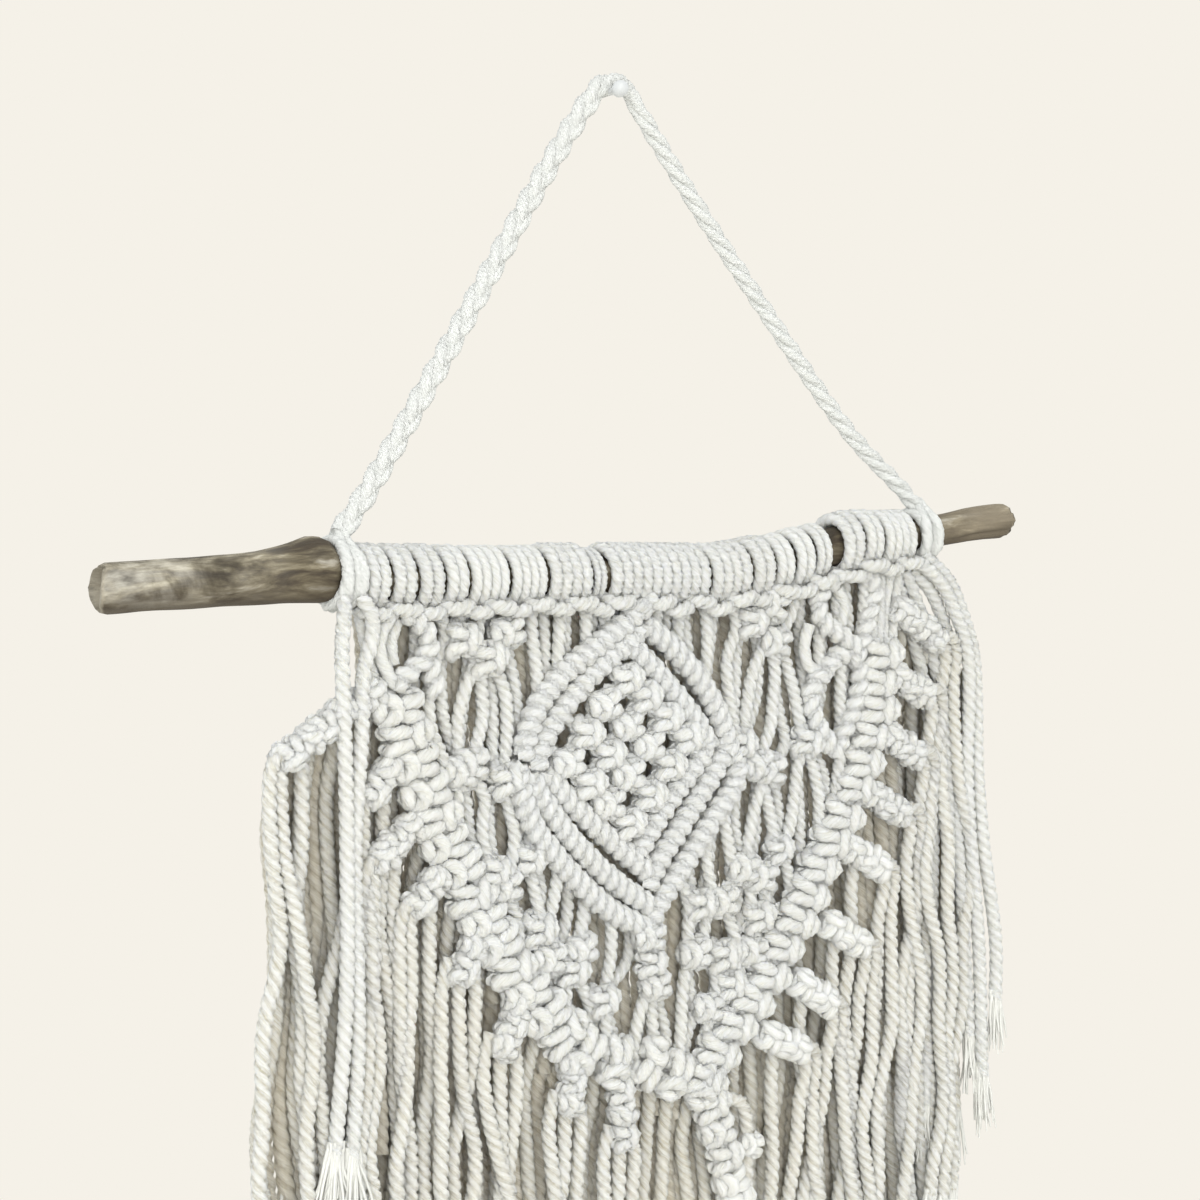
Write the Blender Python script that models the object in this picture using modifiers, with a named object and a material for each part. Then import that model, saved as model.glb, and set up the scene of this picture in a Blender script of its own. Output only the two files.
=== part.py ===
"""Macrame wall hanging: a knotted cotton panel on a driftwood rod, hung from a wall peg.

The origin is where the peg meets the wall: +Z is up, the wall is the plane y = 0 and the
hanging is in front of it, at negative y. Places on the panel are given in millimetres as
u, to the right of the pattern's middle line, d, below the rod's nominal centre line, and
depth, out from the wall.
"""
import math

import bpy
import bmesh
from mathutils import Vector

MM = 0.001

# Driving dimensions, in millimetres
MIDDLE_X = 12.0          # the pattern's middle line, to the right of the peg
ROD_DROP = 125.0         # the rod's nominal centre line, below the peg's axis
ROD_DEPTH = 14.0         # the rod's centre line, out from the wall
PANEL_DEPTH = 17.0       # the middle of the knotted panel
CORD_RADIUS = 1.9        # three-ply cotton cord
CLEARANCE = 0.3          # between pieces that touch
HEADING_LEFT = -93.4     # the knots on the rod, from here
HEADING_RIGHT = 91.8     # to here
HEADING_KNOTS = 26
HEADING_RADIUS = 9.0     # of the loops over the rod
BIGHT_BUMPS = 18         # along the row of bights in front of the loops
BIGHT_RADIUS = 2.8
BRAID_RADIUS = 2.5       # of the hanger
BRAID_STEP = 4.2         # between two of its bulges
TIE_RADIUS = 1.8         # of the hanger's tie round each end of the rod
PEG_RADIUS = 1.1
PEG_LENGTH = 15.6        # from the wall to the top of its head
BAR_RADIUS = 2.6         # a row of double half hitches
BAR_PITCH = 7.6          # between two bumps along it
RIDGE = 0.82             # a bump's neck, as a share of its radius
ARM_RADIUS = 5.2         # a row of square knots along an arm of the V
BRANCH_RADIUS = 4.0
ARM_PITCH = 9.0          # between two knots along it
BRANCH_PITCH = 8.0
KNOT_RADIUS = 4.6        # one knot of the net
KNOT_HEIGHT = 6.8
NET_DEPTH = 19.0
STRIP_DEPTH = 8.8        # the strip that a fringe hangs from
STRIP_RADIUS = 2.0
LANE_OUTER = 118.0       # a fringe's outermost cord, from the pattern's middle line
FLATTEN = 0.8            # knots are this much thinner than they are wide
FRINGE_MIDDLE = 5.0      # u of the fringe's lowest point
FRINGE_SIDE_END = 150.0  # d of the fringe's end at its sides
FRINGE_DROP = 140.0      # further down at its middle
FRINGE_HALF = 125.0
SWAY = 1.6
SWAY_LENGTH = 92.0
SWAY_SPREAD = 64.0
SETTLE = 34.0            # the height in which a cord swings from its knot to its lane

# The rod's centre and radius along its length
ROD = (
    # u, d, radius
    (-165.0, -5.4, 5.0),
    (-162.0, -5.6, 6.0),
    (-140.0, -5.6, 6.0),
    (-120.0, -6.2, 6.6),
    (-106.0, -7.0, 7.6),
    (-101.4, -6.7, 7.5),
    (-99.2, -6.1, 5.9),
    (-92.0, -4.4, 5.4),
    (-70.0, -3.0, 5.3),
    (-40.0, -2.2, 5.2),
    (-10.0, -1.0, 5.2),
    (22.0, 0.6, 5.2),
    (42.0, -1.2, 5.2),
    (56.0, -3.6, 5.3),
    (72.0, -6.6, 5.4),
    (86.0, -6.4, 5.0),
    (98.0, -7.2, 4.4),
    (116.0, -9.2, 4.3),
    (130.0, -10.0, 4.6),
    (132.0, -10.1, 3.8),
)

# The hanger's route from one end of the rod over the peg to the other
HANGER = (
    # u, d, depth
    (-96.8, -14.4, 14.0),
    (-89.6, -24.5, 13.7),
    (-63.0, -62.5, 12.4),
    (-47.0, -86.0, 11.6),
    (-32.0, -107.6, 10.8),
    (-19.6, -123.2, 10.2),
    (-15.6, -127.6, 10.1),
    (-12.0, -129.0, 10.0),
    (-8.4, -127.4, 10.1),
    (-3.6, -121.4, 10.3),
    (18.0, -97.0, 11.1),
    (36.0, -76.4, 11.8),
    (72.0, -36.4, 13.2),
    (91.0, -20.8, 13.8),
    (98.0, -13.8, 14.0),
)
TIES = (
    # u, d, rod radius there
    (-96.8, -5.6, 5.9),
    (98.2, -7.2, 4.4),
)

# Corners of the central diamond, and its nested rows of double half hitches
TOP = (-3.0, 9.0, 22.0)
LEFT = (-43.5, 47.5, 16.0)
RIGHT = (28.5, 49.5, 16.0)
BOTTOM = (-3.0, 93.5, 21.5)
DIAMOND_ROWS = (
    # corner, its inset, left tip's inset, right tip's inset, tips' shift in d
    (TOP, 0.0, 0.0, 0.0, -1.5),
    (TOP, 8.4, 8.4, 7.4, -1.5),
    (BOTTOM, 0.0, 0.4, 0.4, 1.5),
    (BOTTOM, -8.0, 8.2, 7.2, 1.5),
    (BOTTOM, -16.0, 16.0, 14.0, 1.5),
)
TIP_OUT = 1.0            # the rows' tips, in front of the diamond's
NET_ROWS = (
    # d, number of knots, u of the row's middle
    (29.0, 1, -7.5),
    (38.0, 2, -8.4),
    (47.0, 3, -9.0),
    (56.0, 2, -8.4),
    (65.0, 1, -7.5),
)
NET_PITCH = 13.0
# Ends of the net's cords on the bars around it
NET_ANCHORS = (
    # knot u, knot d, bar u, bar d
    (-7.5, 29.0, -4.5, 19.0),
    (-22.0, 47.0, -30.0, 47.5),
    (4.0, 47.0, 13.5, 49.0),
    (-7.5, 65.0, -4.5, 75.5),
)

# The two arms of the V, from the heading down to where they meet
RIGHT_ARM = ((84.0, 8.0), (80.0, 21.0), (77.0, 38.0), (73.5, 53.0), (66.0, 68.0), (56.0, 84.0),
             (46.0, 99.0), (36.0, 113.0), (26.0, 124.0), (15.0, 135.0))
LEFT_ARM = ((-86.0, 8.0), (-84.0, 23.0), (-80.0, 40.0), (-72.5, 56.0), (-64.0, 71.0), (-55.0, 86.0),
            (-44.0, 102.0), (-32.0, 116.0), (-16.0, 126.0), (0.0, 130.0), (13.0, 136.0))

# Rows of square knots that leave the arms
BRANCHES = (
    # root u, root d, tip u, tip d
    (-85.0, 22.0, -116.0, 38.0),
    (-81.0, 42.0, -92.0, 49.0),
    (-75.0, 57.0, -89.0, 66.0),
    (-66.0, 71.0, -82.0, 79.0),
    (-56.0, 86.0, -68.0, 99.0),
    (-44.0, 103.0, -52.0, 120.0),
    (-28.0, 120.0, -29.0, 138.0),
    (-13.0, 128.0, -11.0, 149.0),
    (82.0, 12.0, 108.0, 26.0),
    (81.0, 31.0, 102.0, 39.0),
    (78.0, 47.0, 99.0, 55.0),
    (71.0, 63.0, 91.0, 72.0),
    (64.0, 78.0, 91.0, 92.0),
    (56.0, 97.0, 81.0, 106.0),
    (46.0, 112.0, 69.0, 121.0),
    (33.0, 126.0, 61.0, 136.0),
)
SINNETS = (
    # top u, top d, bottom u, bottom d, knots
    (-3.0, 93.0, -1.0, 124.0, 4),
    (14.0, 134.0, 30.0, 178.0, 5),
)
KNOT_GROUPS = (
    # left u, left d, right u, right d, knots
    (-67.0, 12.0, -47.0, 13.0, 2),
    (30.0, 12.0, 45.0, 18.0, 2),
    (-68.0, 47.0, -47.0, 49.0, 2),
    (27.0, 48.0, 54.0, 48.0, 3),
    (14.0, 97.0, 37.0, 94.0, 3),
)
# Cords that hang straight from the ends of the heading
SIDE_CORDS = (
    # u at the rod, u half way, u at the end, d at the end
    (-90.4, -98.0, -101.5, 152.0),
    (-85.6, -92.2, -96.0, 158.0),
    (83.0, 111.5, 120.0, 148.0),
    (85.8, 116.5, 125.0, 132.0),
    (88.6, 121.5, 130.0, 118.0),
)
# The outer ends of the strip behind each arm that carries a fringe, (distance from u = 0, d)
STRIP_ENDS = ((117.0, 40.0), (100.0, 28.0))
STRIP_END_INSET = 0.6    # a cord's root, from the end of its strip
ROOT_SHARE = 0.2         # a cord's root depth, on the way from the strip to its layer
# The two layers of cords in each fringe
LAYERS = (
    # depth, (distance of the innermost cord from the middle, cords), shorter by, stretches
    (11.2, (2.4, 25), 0.0, 4),
    (6.3, (6.0, 11), 8.0, 3),
)
INNER_LANES = 20         # cords between the heading and the V
INNER_FROM = -74.0
INNER_TO = 71.0
INNER_DROP = 6.5         # where they leave the heading, below the rod's axis
INNER_SWAY = 0.8
INNER_SWAY_DROP = 60.0   # length of one wave down a cord
INNER_SWAY_SPREAD = 70.0  # and from cord to cord
INNER_SHORTEST = 3.0
SIDE_DROP = 6.0
SIDE_THICKER = 1.1       # the side cords against the others
LOOP_NECK = 0.93         # narrowest part of the heading between two loops
BIGHT_NECK = 0.8
BIGHT_DROP = 6.6         # the row of bights, below the rod's axis
BIGHT_OUT = 7.0          # and in front of it
BIGHT_INSET = 2.0        # its ends, from the ends of the heading
KNOT_NECK = 0.6
NET_REACH = 0.7          # share of the pitch within which two knots share a cord
BRAID_FULL = 1.05        # the braid's bumps and necks, against its radius
BRAID_NECK = 0.92

COTTON = (0.80, 0.80, 0.76)
HANGER_COTTON = (0.84, 0.84, 0.80)
FRINGE_COTTON = (0.74, 0.73, 0.68)
DRIFTWOOD = (0.23, 0.19, 0.14)
PEG_WHITE = (0.86, 0.86, 0.84)


def at(u, d, depth):
    """The place in the part's frame, in metres."""
    return Vector((MIDDLE_X + u, -depth, -ROD_DROP - d)) * MM


def between(table, position):
    """The row of a table at a position in its first column, in straight steps."""
    for start, end in zip(table, table[1:]):
        if position <= end[0]:
            share = (position - start[0]) / (end[0] - start[0])
            return [a + (b - a) * share for a, b in zip(start, end)]
    return list(table[-1])


def smooth(share):
    """0 to 1 with a soft start and end."""
    share = min(max(share, 0.0), 1.0)
    return share * share * (3.0 - 2.0 * share)


def spread(start, end, count):
    """Evenly spaced numbers from start to end."""
    return [start + (end - start) * step / (count - 1) for step in range(count)]


def material(name, color, roughness):
    """A Principled material, one for each piece."""
    made = bpy.data.materials.new(name)
    made.use_nodes = True
    shader = made.node_tree.nodes["Principled BSDF"]
    shader.inputs["Base Color"].default_value = (*color, 1.0)
    shader.inputs["Roughness"].default_value = roughness
    shader.inputs["Metallic"].default_value = 0.0
    return made


def collection(name):
    made = bpy.data.collections.new(name)
    bpy.context.scene.collection.children.link(made)
    return made


def tube(name, run, sides, owner, flatten=None):
    """A mesh tube along the run's (place, radius in millimetres) rows, closed at both ends."""
    curve = bpy.data.curves.new(name, "CURVE")
    curve.dimensions = "3D"
    curve.bevel_depth = MM
    curve.bevel_resolution = (sides - 4) // 2
    curve.use_fill_caps = True
    spline = curve.splines.new("POLY")
    spline.points.add(len(run) - 1)
    for point, (place, radius) in zip(spline.points, run):
        point.co = (*place, 1.0)
        point.radius = radius
    guide = bpy.data.objects.new(name + "_curve", curve)
    owner.objects.link(guide)
    bpy.context.view_layer.update()
    mesh = bpy.data.meshes.new_from_object(guide.evaluated_get(bpy.context.evaluated_depsgraph_get()))
    bpy.data.objects.remove(guide)
    work = bmesh.new()
    work.from_mesh(mesh)
    bmesh.ops.remove_doubles(work, verts=work.verts, dist=0.00001)
    bmesh.ops.recalc_face_normals(work, faces=work.faces)
    if flatten:
        share, depth = flatten
        for vert in work.verts:
            vert.co.y = -depth * MM + (vert.co.y + depth * MM) * share
    work.to_mesh(mesh)
    work.free()
    mesh.name = name
    made = bpy.data.objects.new(name, mesh)
    owner.objects.link(made)
    return made


def tubes(name, runs, sides, owner, flatten=None):
    """One tube for each run, all in the owner's collection and not rendered."""
    for index, run in enumerate(runs):
        made = tube("%s_%02d" % (name, index), run, sides, owner, flatten)
        made.hide_render = True
        made.display_type = "WIRE"


def ridged(start, end, bumps, radius):
    """A straight row of bumps, one for each knot."""
    run = [(start.copy(), radius * 0.6)]
    for bump in range(bumps):
        run.append((start.lerp(end, (bump + 0.5) / bumps), radius))
        if bump < bumps - 1:
            run.append((start.lerp(end, (bump + 1.0) / bumps), radius * RIDGE))
    run.append((end.copy(), radius * 0.6))
    return run


def ridged_path(points, depth, pitch, radius):
    """A row of bumps along a bent path of (u, d) points."""
    places = [at(u, d, depth) for u, d in points]
    lengths = [0.0]
    for a, b in zip(places, places[1:]):
        lengths.append(lengths[-1] + (b - a).length)
    table = [(length, *place) for length, place in zip(lengths, places)]
    bumps = max(2, round(lengths[-1] / (pitch * MM)))
    run = []
    for step in range(2 * bumps + 1):
        place = Vector(between(table, lengths[-1] * step / (2 * bumps))[1:])
        run.append((place, radius if step % 2 else radius * RIDGE))
    return run


def sway(u, d):
    """How far a hanging cord leaves its lane, alike for neighbours, so they stay apart."""
    return SWAY * math.sin(2.0 * math.pi * (d / SWAY_LENGTH + u / SWAY_SPREAD))


def fringe_end(u, index):
    """The d of a fringe cord's end: a V, cut by hand."""
    across = min(abs(u - FRINGE_MIDDLE) / FRINGE_HALF, 1.0)
    uneven = 5.0 * math.sin(2.4 * index)
    return FRINGE_SIDE_END + FRINGE_DROP * (1.0 - across) + uneven


def hanging(root, lane, end, depth, steps):
    """A cord from its root (u, d, depth) that swings to its lane and hangs down it."""
    run = []
    for step in range(steps + 1):
        d = root[1] + (end - root[1]) * step / steps
        settled = smooth((d - root[1]) / SETTLE)
        u = root[0] + (lane + sway(lane, d) - root[0]) * settled
        run.append((at(u, d, root[2] + (depth - root[2]) * settled), CORD_RADIUS * 1.1))
    return run


def driftwood_rod(parts):
    run = [(at(u, d, ROD_DEPTH), radius) for u, d, radius in ROD]
    made = tube("driftwood_rod", run, 12, parts)
    made.data.materials.append(material("driftwood", DRIFTWOOD, 0.85))
    return made


def wall_peg(parts):
    profile = (
        # radius, distance from the wall
        (0.0, PEG_LENGTH),
        (1.4, PEG_LENGTH - 0.3),
        (2.2, PEG_LENGTH - 1.1),
        (2.2, PEG_LENGTH - 1.7),
        (PEG_RADIUS, PEG_LENGTH - 2.2),
        (PEG_RADIUS, 0.0),
        (0.0, 0.0),
    )
    mesh = bpy.data.meshes.new("wall_peg")
    work = bmesh.new()
    verts = [work.verts.new((radius * MM, 0.0, height * MM)) for radius, height in profile]
    for a, b in zip(verts, verts[1:]):
        work.edges.new((a, b))
    work.to_mesh(mesh)
    work.free()
    made = bpy.data.objects.new("wall_peg", mesh)
    parts.objects.link(made)
    turn = made.modifiers.new("turn", "SCREW")
    turn.axis = "Z"
    turn.steps = 16
    turn.render_steps = 16
    turn.use_merge_vertices = True
    turn.merge_threshold = 0.00001
    made.rotation_euler = (math.radians(90.0), 0.0, 0.0)
    mesh.materials.append(material("peg_white", PEG_WHITE, 0.35))
    return made


def union(target, pieces):
    """Join every closed piece of a collection to the target as one closed body."""
    modifier = target.modifiers.new("union", "BOOLEAN")
    modifier.operation = "UNION"
    modifier.solver = "EXACT"
    modifier.operand_type = "COLLECTION"
    modifier.collection = pieces


def cut(target, cutter):
    modifier = target.modifiers.new("bore", "BOOLEAN")
    modifier.operation = "DIFFERENCE"
    modifier.solver = "EXACT"
    modifier.object = cutter
    cutter.hide_render = True
    cutter.display_type = "WIRE"


def island(start):
    """The vertices joined to one vertex by edges."""
    found = {start}
    waiting = [start]
    while waiting:
        for edge in waiting.pop().link_edges:
            for vert in edge.verts:
                if vert not in found:
                    found.add(vert)
                    waiting.append(vert)
    return found


def keep_outside(made):
    """Apply the modifiers and fill the small pockets sealed between fused knots."""
    evaluated = made.evaluated_get(bpy.context.evaluated_depsgraph_get())
    work = bmesh.new()
    work.from_mesh(evaluated.to_mesh())
    islands = []
    waiting = set(work.verts)
    while waiting:
        found = island(next(iter(waiting)))
        islands.append(found)
        waiting -= found
    outside = max(islands, key=len)
    bmesh.ops.delete(work, geom=[v for v in work.verts if v not in outside], context="VERTS")
    made.modifiers.clear()
    work.to_mesh(made.data)
    work.free()


def hanger_cord(parts):
    """The braid with a tie round each end of the rod."""
    places = [at(u, d, depth) for u, d, depth in HANGER]
    lengths = [0.0]
    for a, b in zip(places, places[1:]):
        lengths.append(lengths[-1] + (b - a).length)
    table = [(length, *place) for length, place in zip(lengths, places)]
    steps = 2 * round(lengths[-1] / (BRAID_STEP * MM) / 2)
    run = []
    for step in range(steps + 1):
        place = Vector(between(table, lengths[-1] * step / steps)[1:])
        run.append((place, BRAID_RADIUS * (BRAID_FULL if step % 2 else BRAID_NECK)))
    made = tube("hanger_cord", run, 6, parts)
    ties = collection("ties")
    for index, (u, d, radius) in enumerate(TIES):
        bpy.ops.mesh.primitive_torus_add(
            major_radius=(radius + CLEARANCE + 0.2 + TIE_RADIUS) * MM, minor_radius=TIE_RADIUS * MM,
            major_segments=16, minor_segments=6, location=at(u, d, ROD_DEPTH),
            rotation=(0.0, math.radians(90.0), 0.0))
        tie = bpy.context.object
        tie.name = "tie_%d" % index
        for owner in tie.users_collection:
            owner.objects.unlink(tie)
        ties.objects.link(tie)
        tie.hide_render = True
        tie.display_type = "WIRE"
    made.data.materials.append(material("hanger_cotton", HANGER_COTTON, 0.9))
    return made, ties


def heading_runs():
    """Loops over the rod and the row of bights in front of them."""
    loops = []
    bights = []
    for step in range(2 * HEADING_KNOTS + 1):
        u = HEADING_LEFT + (HEADING_RIGHT - HEADING_LEFT) * step / (2 * HEADING_KNOTS)
        _, d, _ = between(ROD, u)
        loops.append((at(u, d, ROD_DEPTH), HEADING_RADIUS if step % 2 else HEADING_RADIUS * LOOP_NECK))
    for step in range(2 * BIGHT_BUMPS + 1):
        reach = HEADING_RIGHT - HEADING_LEFT - 2.0 * BIGHT_INSET
        u = HEADING_LEFT + BIGHT_INSET + reach * step / (2 * BIGHT_BUMPS)
        _, d, _ = between(ROD, u)
        radius = BIGHT_RADIUS * (1.0 if step % 2 else BIGHT_NECK)
        bights.append((at(u, d + BIGHT_DROP, ROD_DEPTH + BIGHT_OUT), radius))
    return loops, bights


def diamond_runs():
    """Nested rows of double half hitches, each from a tip of the diamond to its top or bottom."""
    rows = []
    for corner, inset, left_inset, right_inset, shift in DIAMOND_ROWS:
        peak = at(corner[0], corner[1] + inset, corner[2])
        left = at(LEFT[0] + left_inset, LEFT[1] + shift, LEFT[2] + TIP_OUT)
        right = at(RIGHT[0] - right_inset, RIGHT[1] + shift, RIGHT[2] + TIP_OUT)
        for tip in (left, right):
            bumps = round((tip - peak).length / (BAR_PITCH * MM))
            rows.append(ridged(tip, peak, bumps, BAR_RADIUS))
    return rows


def net_places():
    """The net's knots, row by row, as (u, d)."""
    return [[(middle + NET_PITCH * (index - (count - 1) / 2.0), d) for index in range(count)]
            for d, count, middle in NET_ROWS]


def net_runs():
    """Small square knots inside the diamond."""
    knots = []
    for row in net_places():
        for u, d in row:
            knots.append([(at(u, d - KNOT_HEIGHT / 2.0, NET_DEPTH), KNOT_RADIUS * KNOT_NECK),
                          (at(u, d, NET_DEPTH), KNOT_RADIUS),
                          (at(u, d + KNOT_HEIGHT / 2.0, NET_DEPTH), KNOT_RADIUS * KNOT_NECK)])
    return knots


def net_cords():
    """The cords between the net's knots, and from them to the bars."""
    runs = [[(at(u, d, NET_DEPTH), CORD_RADIUS), (at(bar_u, bar_d, NET_DEPTH), CORD_RADIUS)]
            for u, d, bar_u, bar_d in NET_ANCHORS]
    places = net_places()
    for row, below in zip(places, places[1:]):
        for u, d in row:
            for next_u, next_d in below:
                if abs(next_u - u) < NET_PITCH * NET_REACH:
                    end = at(next_u, next_d, NET_DEPTH)
                    runs.append([(at(u, d, NET_DEPTH), CORD_RADIUS), (end, CORD_RADIUS)])
    return runs


def knot_runs():
    """The branches, the hanging rows of square knots and the groups beside the diamond."""
    runs = []
    for root_u, root_d, tip_u, tip_d in BRANCHES:
        start = at(root_u, root_d, PANEL_DEPTH)
        end = at(tip_u, tip_d, PANEL_DEPTH)
        bumps = max(2, round((end - start).length / (BRANCH_PITCH * MM)))
        runs.append(ridged(start, end, bumps, BRANCH_RADIUS))
    for top_u, top_d, end_u, end_d, count in SINNETS + KNOT_GROUPS:
        start = at(top_u, top_d, PANEL_DEPTH + 1.0)
        end = at(end_u, end_d, PANEL_DEPTH + 1.0)
        runs.append(ridged(start, end, count, BRANCH_RADIUS))
    return runs


def edge_of_v(u):
    """The d of the V's arms at u."""
    left = sorted(LEFT_ARM)
    right = sorted(RIGHT_ARM)
    return between(left, u)[1] if u < left[-1][0] else between(right, u)[1]


def diamond_edges(u):
    """The d of the diamond's upper and lower edge at u, or None beside it."""
    if not LEFT[0] + 1.0 < u < RIGHT[0] - 1.0:
        return None
    tip = LEFT if u < TOP[0] else RIGHT
    share = (u - TOP[0]) / (tip[0] - TOP[0])
    return TOP[1] + (tip[1] - TOP[1]) * share, BOTTOM[1] + (tip[1] - BOTTOM[1]) * share


def inner_runs():
    """Cords from the heading to the diamond and the V, and from the diamond to the V."""
    runs = []
    for u in spread(INNER_FROM, INNER_TO, INNER_LANES):
        _, rod_d, _ = between(ROD, u)
        start = rod_d + INNER_DROP
        spans = [(start, edge_of_v(u) + 1.0)]
        edges = diamond_edges(u)
        if edges:
            upper, lower = edges
            spans = [(start, upper + 2.0), (lower - 2.0, edge_of_v(u) + 1.0)]
        for top, bottom in spans:
            if bottom - top < INNER_SHORTEST:
                continue
            places = []
            for d in spread(top, bottom, 3):
                turns = d / INNER_SWAY_DROP + u / INNER_SWAY_SPREAD
                lean = INNER_SWAY * math.sin(2.0 * math.pi * turns)
                places.append((at(u + lean, d, PANEL_DEPTH + 1.0), CORD_RADIUS))
            runs.append(places)
    return runs


def side_runs():
    """The straight cords beside the panel, from the ends of the heading."""
    runs = []
    for top_u, half_u, end_u, end_d in SIDE_CORDS:
        _, rod_d, _ = between(ROD, top_u)
        table = ((0.0, top_u), (0.2, top_u + (half_u - top_u) * 0.45), (0.5, half_u), (1.0, end_u))
        run = []
        for share in spread(0.0, 1.0, 6):
            d = rod_d + SIDE_DROP + (end_d - rod_d - SIDE_DROP) * share
            depth = PANEL_DEPTH + 1.5 + 4.0 * smooth(share * 5)
            run.append((at(between(table, share)[1], d, depth), CORD_RADIUS * SIDE_THICKER))
        runs.append(run)
    return runs


def macrame_panel(parts):
    """The knots on the rod, the pattern below them and the cords between its knots."""
    flat = (FLATTEN, PANEL_DEPTH)
    pieces = collection("panel_pieces")
    loops, bights = heading_runs()
    made = tube("macrame_panel", ridged_path(RIGHT_ARM, PANEL_DEPTH, ARM_PITCH, ARM_RADIUS), 6, parts, flat)
    tubes("arm", [ridged_path(LEFT_ARM, PANEL_DEPTH, ARM_PITCH, ARM_RADIUS)], 6, pieces, flat)
    tubes("heading", [loops], 8, pieces)
    tubes("bights", [bights], 6, pieces)
    tubes("bar", diamond_runs(), 6, pieces)
    tubes("net", net_runs(), 6, pieces, (FLATTEN, NET_DEPTH))
    tubes("net_cord", net_cords(), 4, pieces)
    tubes("knots", knot_runs(), 4, pieces, flat)
    tubes("inner", inner_runs(), 4, pieces)
    tubes("side", side_runs(), 4, pieces)
    made.data.materials.append(material("cotton", COTTON, 0.9))
    return made, pieces


def fringe(parts, name, arm, side):
    """Two layers of cords, fused to a narrow strip that lies behind one arm of the V."""
    strip = [(side * u, d) for u, d in STRIP_ENDS] + list(arm[1:-1])
    made = tube(name, [(at(u, d, STRIP_DEPTH), STRIP_RADIUS) for u, d in strip], 6, parts)
    edge = sorted(strip)
    runs = []
    for depth, lanes, shorter, steps in LAYERS:
        inner, count = lanes
        root_depth = STRIP_DEPTH + (depth - STRIP_DEPTH) * ROOT_SHARE
        for index, lane in enumerate(spread(side * LANE_OUTER, side * inner + FRINGE_MIDDLE, count)):
            root = min(max(lane, edge[0][0] + STRIP_END_INSET), edge[-1][0] - STRIP_END_INSET)
            _, d = between(edge, root)
            end = fringe_end(lane, index) - shorter
            runs.append(hanging((root, d, root_depth), lane, end, depth, steps))
    cords = collection(name + "_cords")
    tubes(name + "_cord", runs, 4, cords)
    made.data.materials.append(material(name + "_cotton", FRINGE_COTTON, 0.9))
    return made, cords


def main():
    for old in list(bpy.data.objects):
        bpy.data.objects.remove(old)
    parts = collection("macrame_wall_hanging")
    cutters = collection("cutters")
    wall_peg(parts)
    driftwood_rod(parts)
    joined = [
        hanger_cord(parts),
        macrame_panel(parts),
        fringe(parts, "fringe_left", LEFT_ARM, -1.0),
        fringe(parts, "fringe_right", RIGHT_ARM, 1.0),
    ]
    clearance = [(at(u, d, ROD_DEPTH), radius + CLEARANCE + 0.1) for u, d, radius in ROD]
    cutter = tube("rod_clearance", clearance, 12, cutters)
    for made, pieces in joined:
        union(made, pieces)
    cut(bpy.data.objects["macrame_panel"], cutter)
    for made, _ in joined:
        keep_outside(made)


main()
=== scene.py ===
import random
from math import atan2, cos, degrees, dist, exp, hypot, pi, radians, sin, sqrt, tau

import bmesh
import bpy
import numpy as np
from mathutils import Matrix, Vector, noise


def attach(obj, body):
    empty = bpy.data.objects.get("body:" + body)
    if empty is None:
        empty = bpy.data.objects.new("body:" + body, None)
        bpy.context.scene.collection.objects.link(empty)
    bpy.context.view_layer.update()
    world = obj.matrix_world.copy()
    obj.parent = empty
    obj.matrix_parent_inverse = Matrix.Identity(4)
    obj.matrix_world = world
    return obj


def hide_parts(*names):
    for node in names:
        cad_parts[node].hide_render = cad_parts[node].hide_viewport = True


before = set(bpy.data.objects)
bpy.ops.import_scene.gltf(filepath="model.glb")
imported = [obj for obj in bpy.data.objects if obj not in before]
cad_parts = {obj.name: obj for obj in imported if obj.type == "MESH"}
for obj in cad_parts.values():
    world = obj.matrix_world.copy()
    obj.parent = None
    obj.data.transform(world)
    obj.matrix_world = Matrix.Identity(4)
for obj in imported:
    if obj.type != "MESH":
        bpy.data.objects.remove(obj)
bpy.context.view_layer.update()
unit = 0.001  # one millimetre

# u is mm to the right of the panel's middle, d is mm below the heading, depth is mm out from the wall
panel = {"middle": 12, "rodDrop": 125, "rodDepth": 14, "depth": 17}
cord = {"radius": 1.9, "step": 1.25,  # mm, three-ply cotton
        "plies": 3, "perPly": 4, "plyPitch": 8.6, "valley": 0.78,
        "knotPitch": 12, "knotValley": 0.86,
        "round": 0.6, "turnEach": 1.7, "slideEach": 0.37}
uvScale = 0.01  # one UV unit is 100 mm
rodLine = (  # u, d and radius along the rod
    (-165, -5.4, 5), (-162, -5.6, 6), (-140, -5.6, 6), (-120, -6.2, 6.6), (-106, -7, 7.6),
    (-101.4, -6.7, 7.5), (-99.2, -6.1, 5.9), (-92, -4.4, 5.4), (-70, -3, 5.3), (-40, -2.2, 5.2),
    (-10, -1, 5.2), (22, 0.6, 5.2), (42, -1.2, 5.2), (56, -3.6, 5.3), (72, -6.6, 5.4),
    (86, -6.4, 5), (98, -7.2, 4.4), (116, -9.2, 4.3), (130, -10, 4.6), (132, -10.1, 3.8))


def hexLinear(code):  # an sRGB hex value as a linear colour
    shares = [int(code[start:start + 2], 16) / 255 for start in (0, 2, 4)]
    return (*[s / 12.92 if s <= 0.04045 else ((s + 0.055) / 1.055) ** 2.4 for s in shares], 1)


def addNode(tree, kind, settings={}, links={}):  # one shader node with its settings and what feeds it
    node = tree.nodes.new("ShaderNode" + kind)
    for name, value in settings.items():
        if isinstance(name, int) or name in node.inputs:
            node.inputs[name].default_value = value
        else:
            setattr(node, name, value)
    for name, source in links.items():  # a node stands for its first output
        tree.links.new(getattr(source, "outputs", [source])[0], node.inputs[name])
    return node


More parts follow.
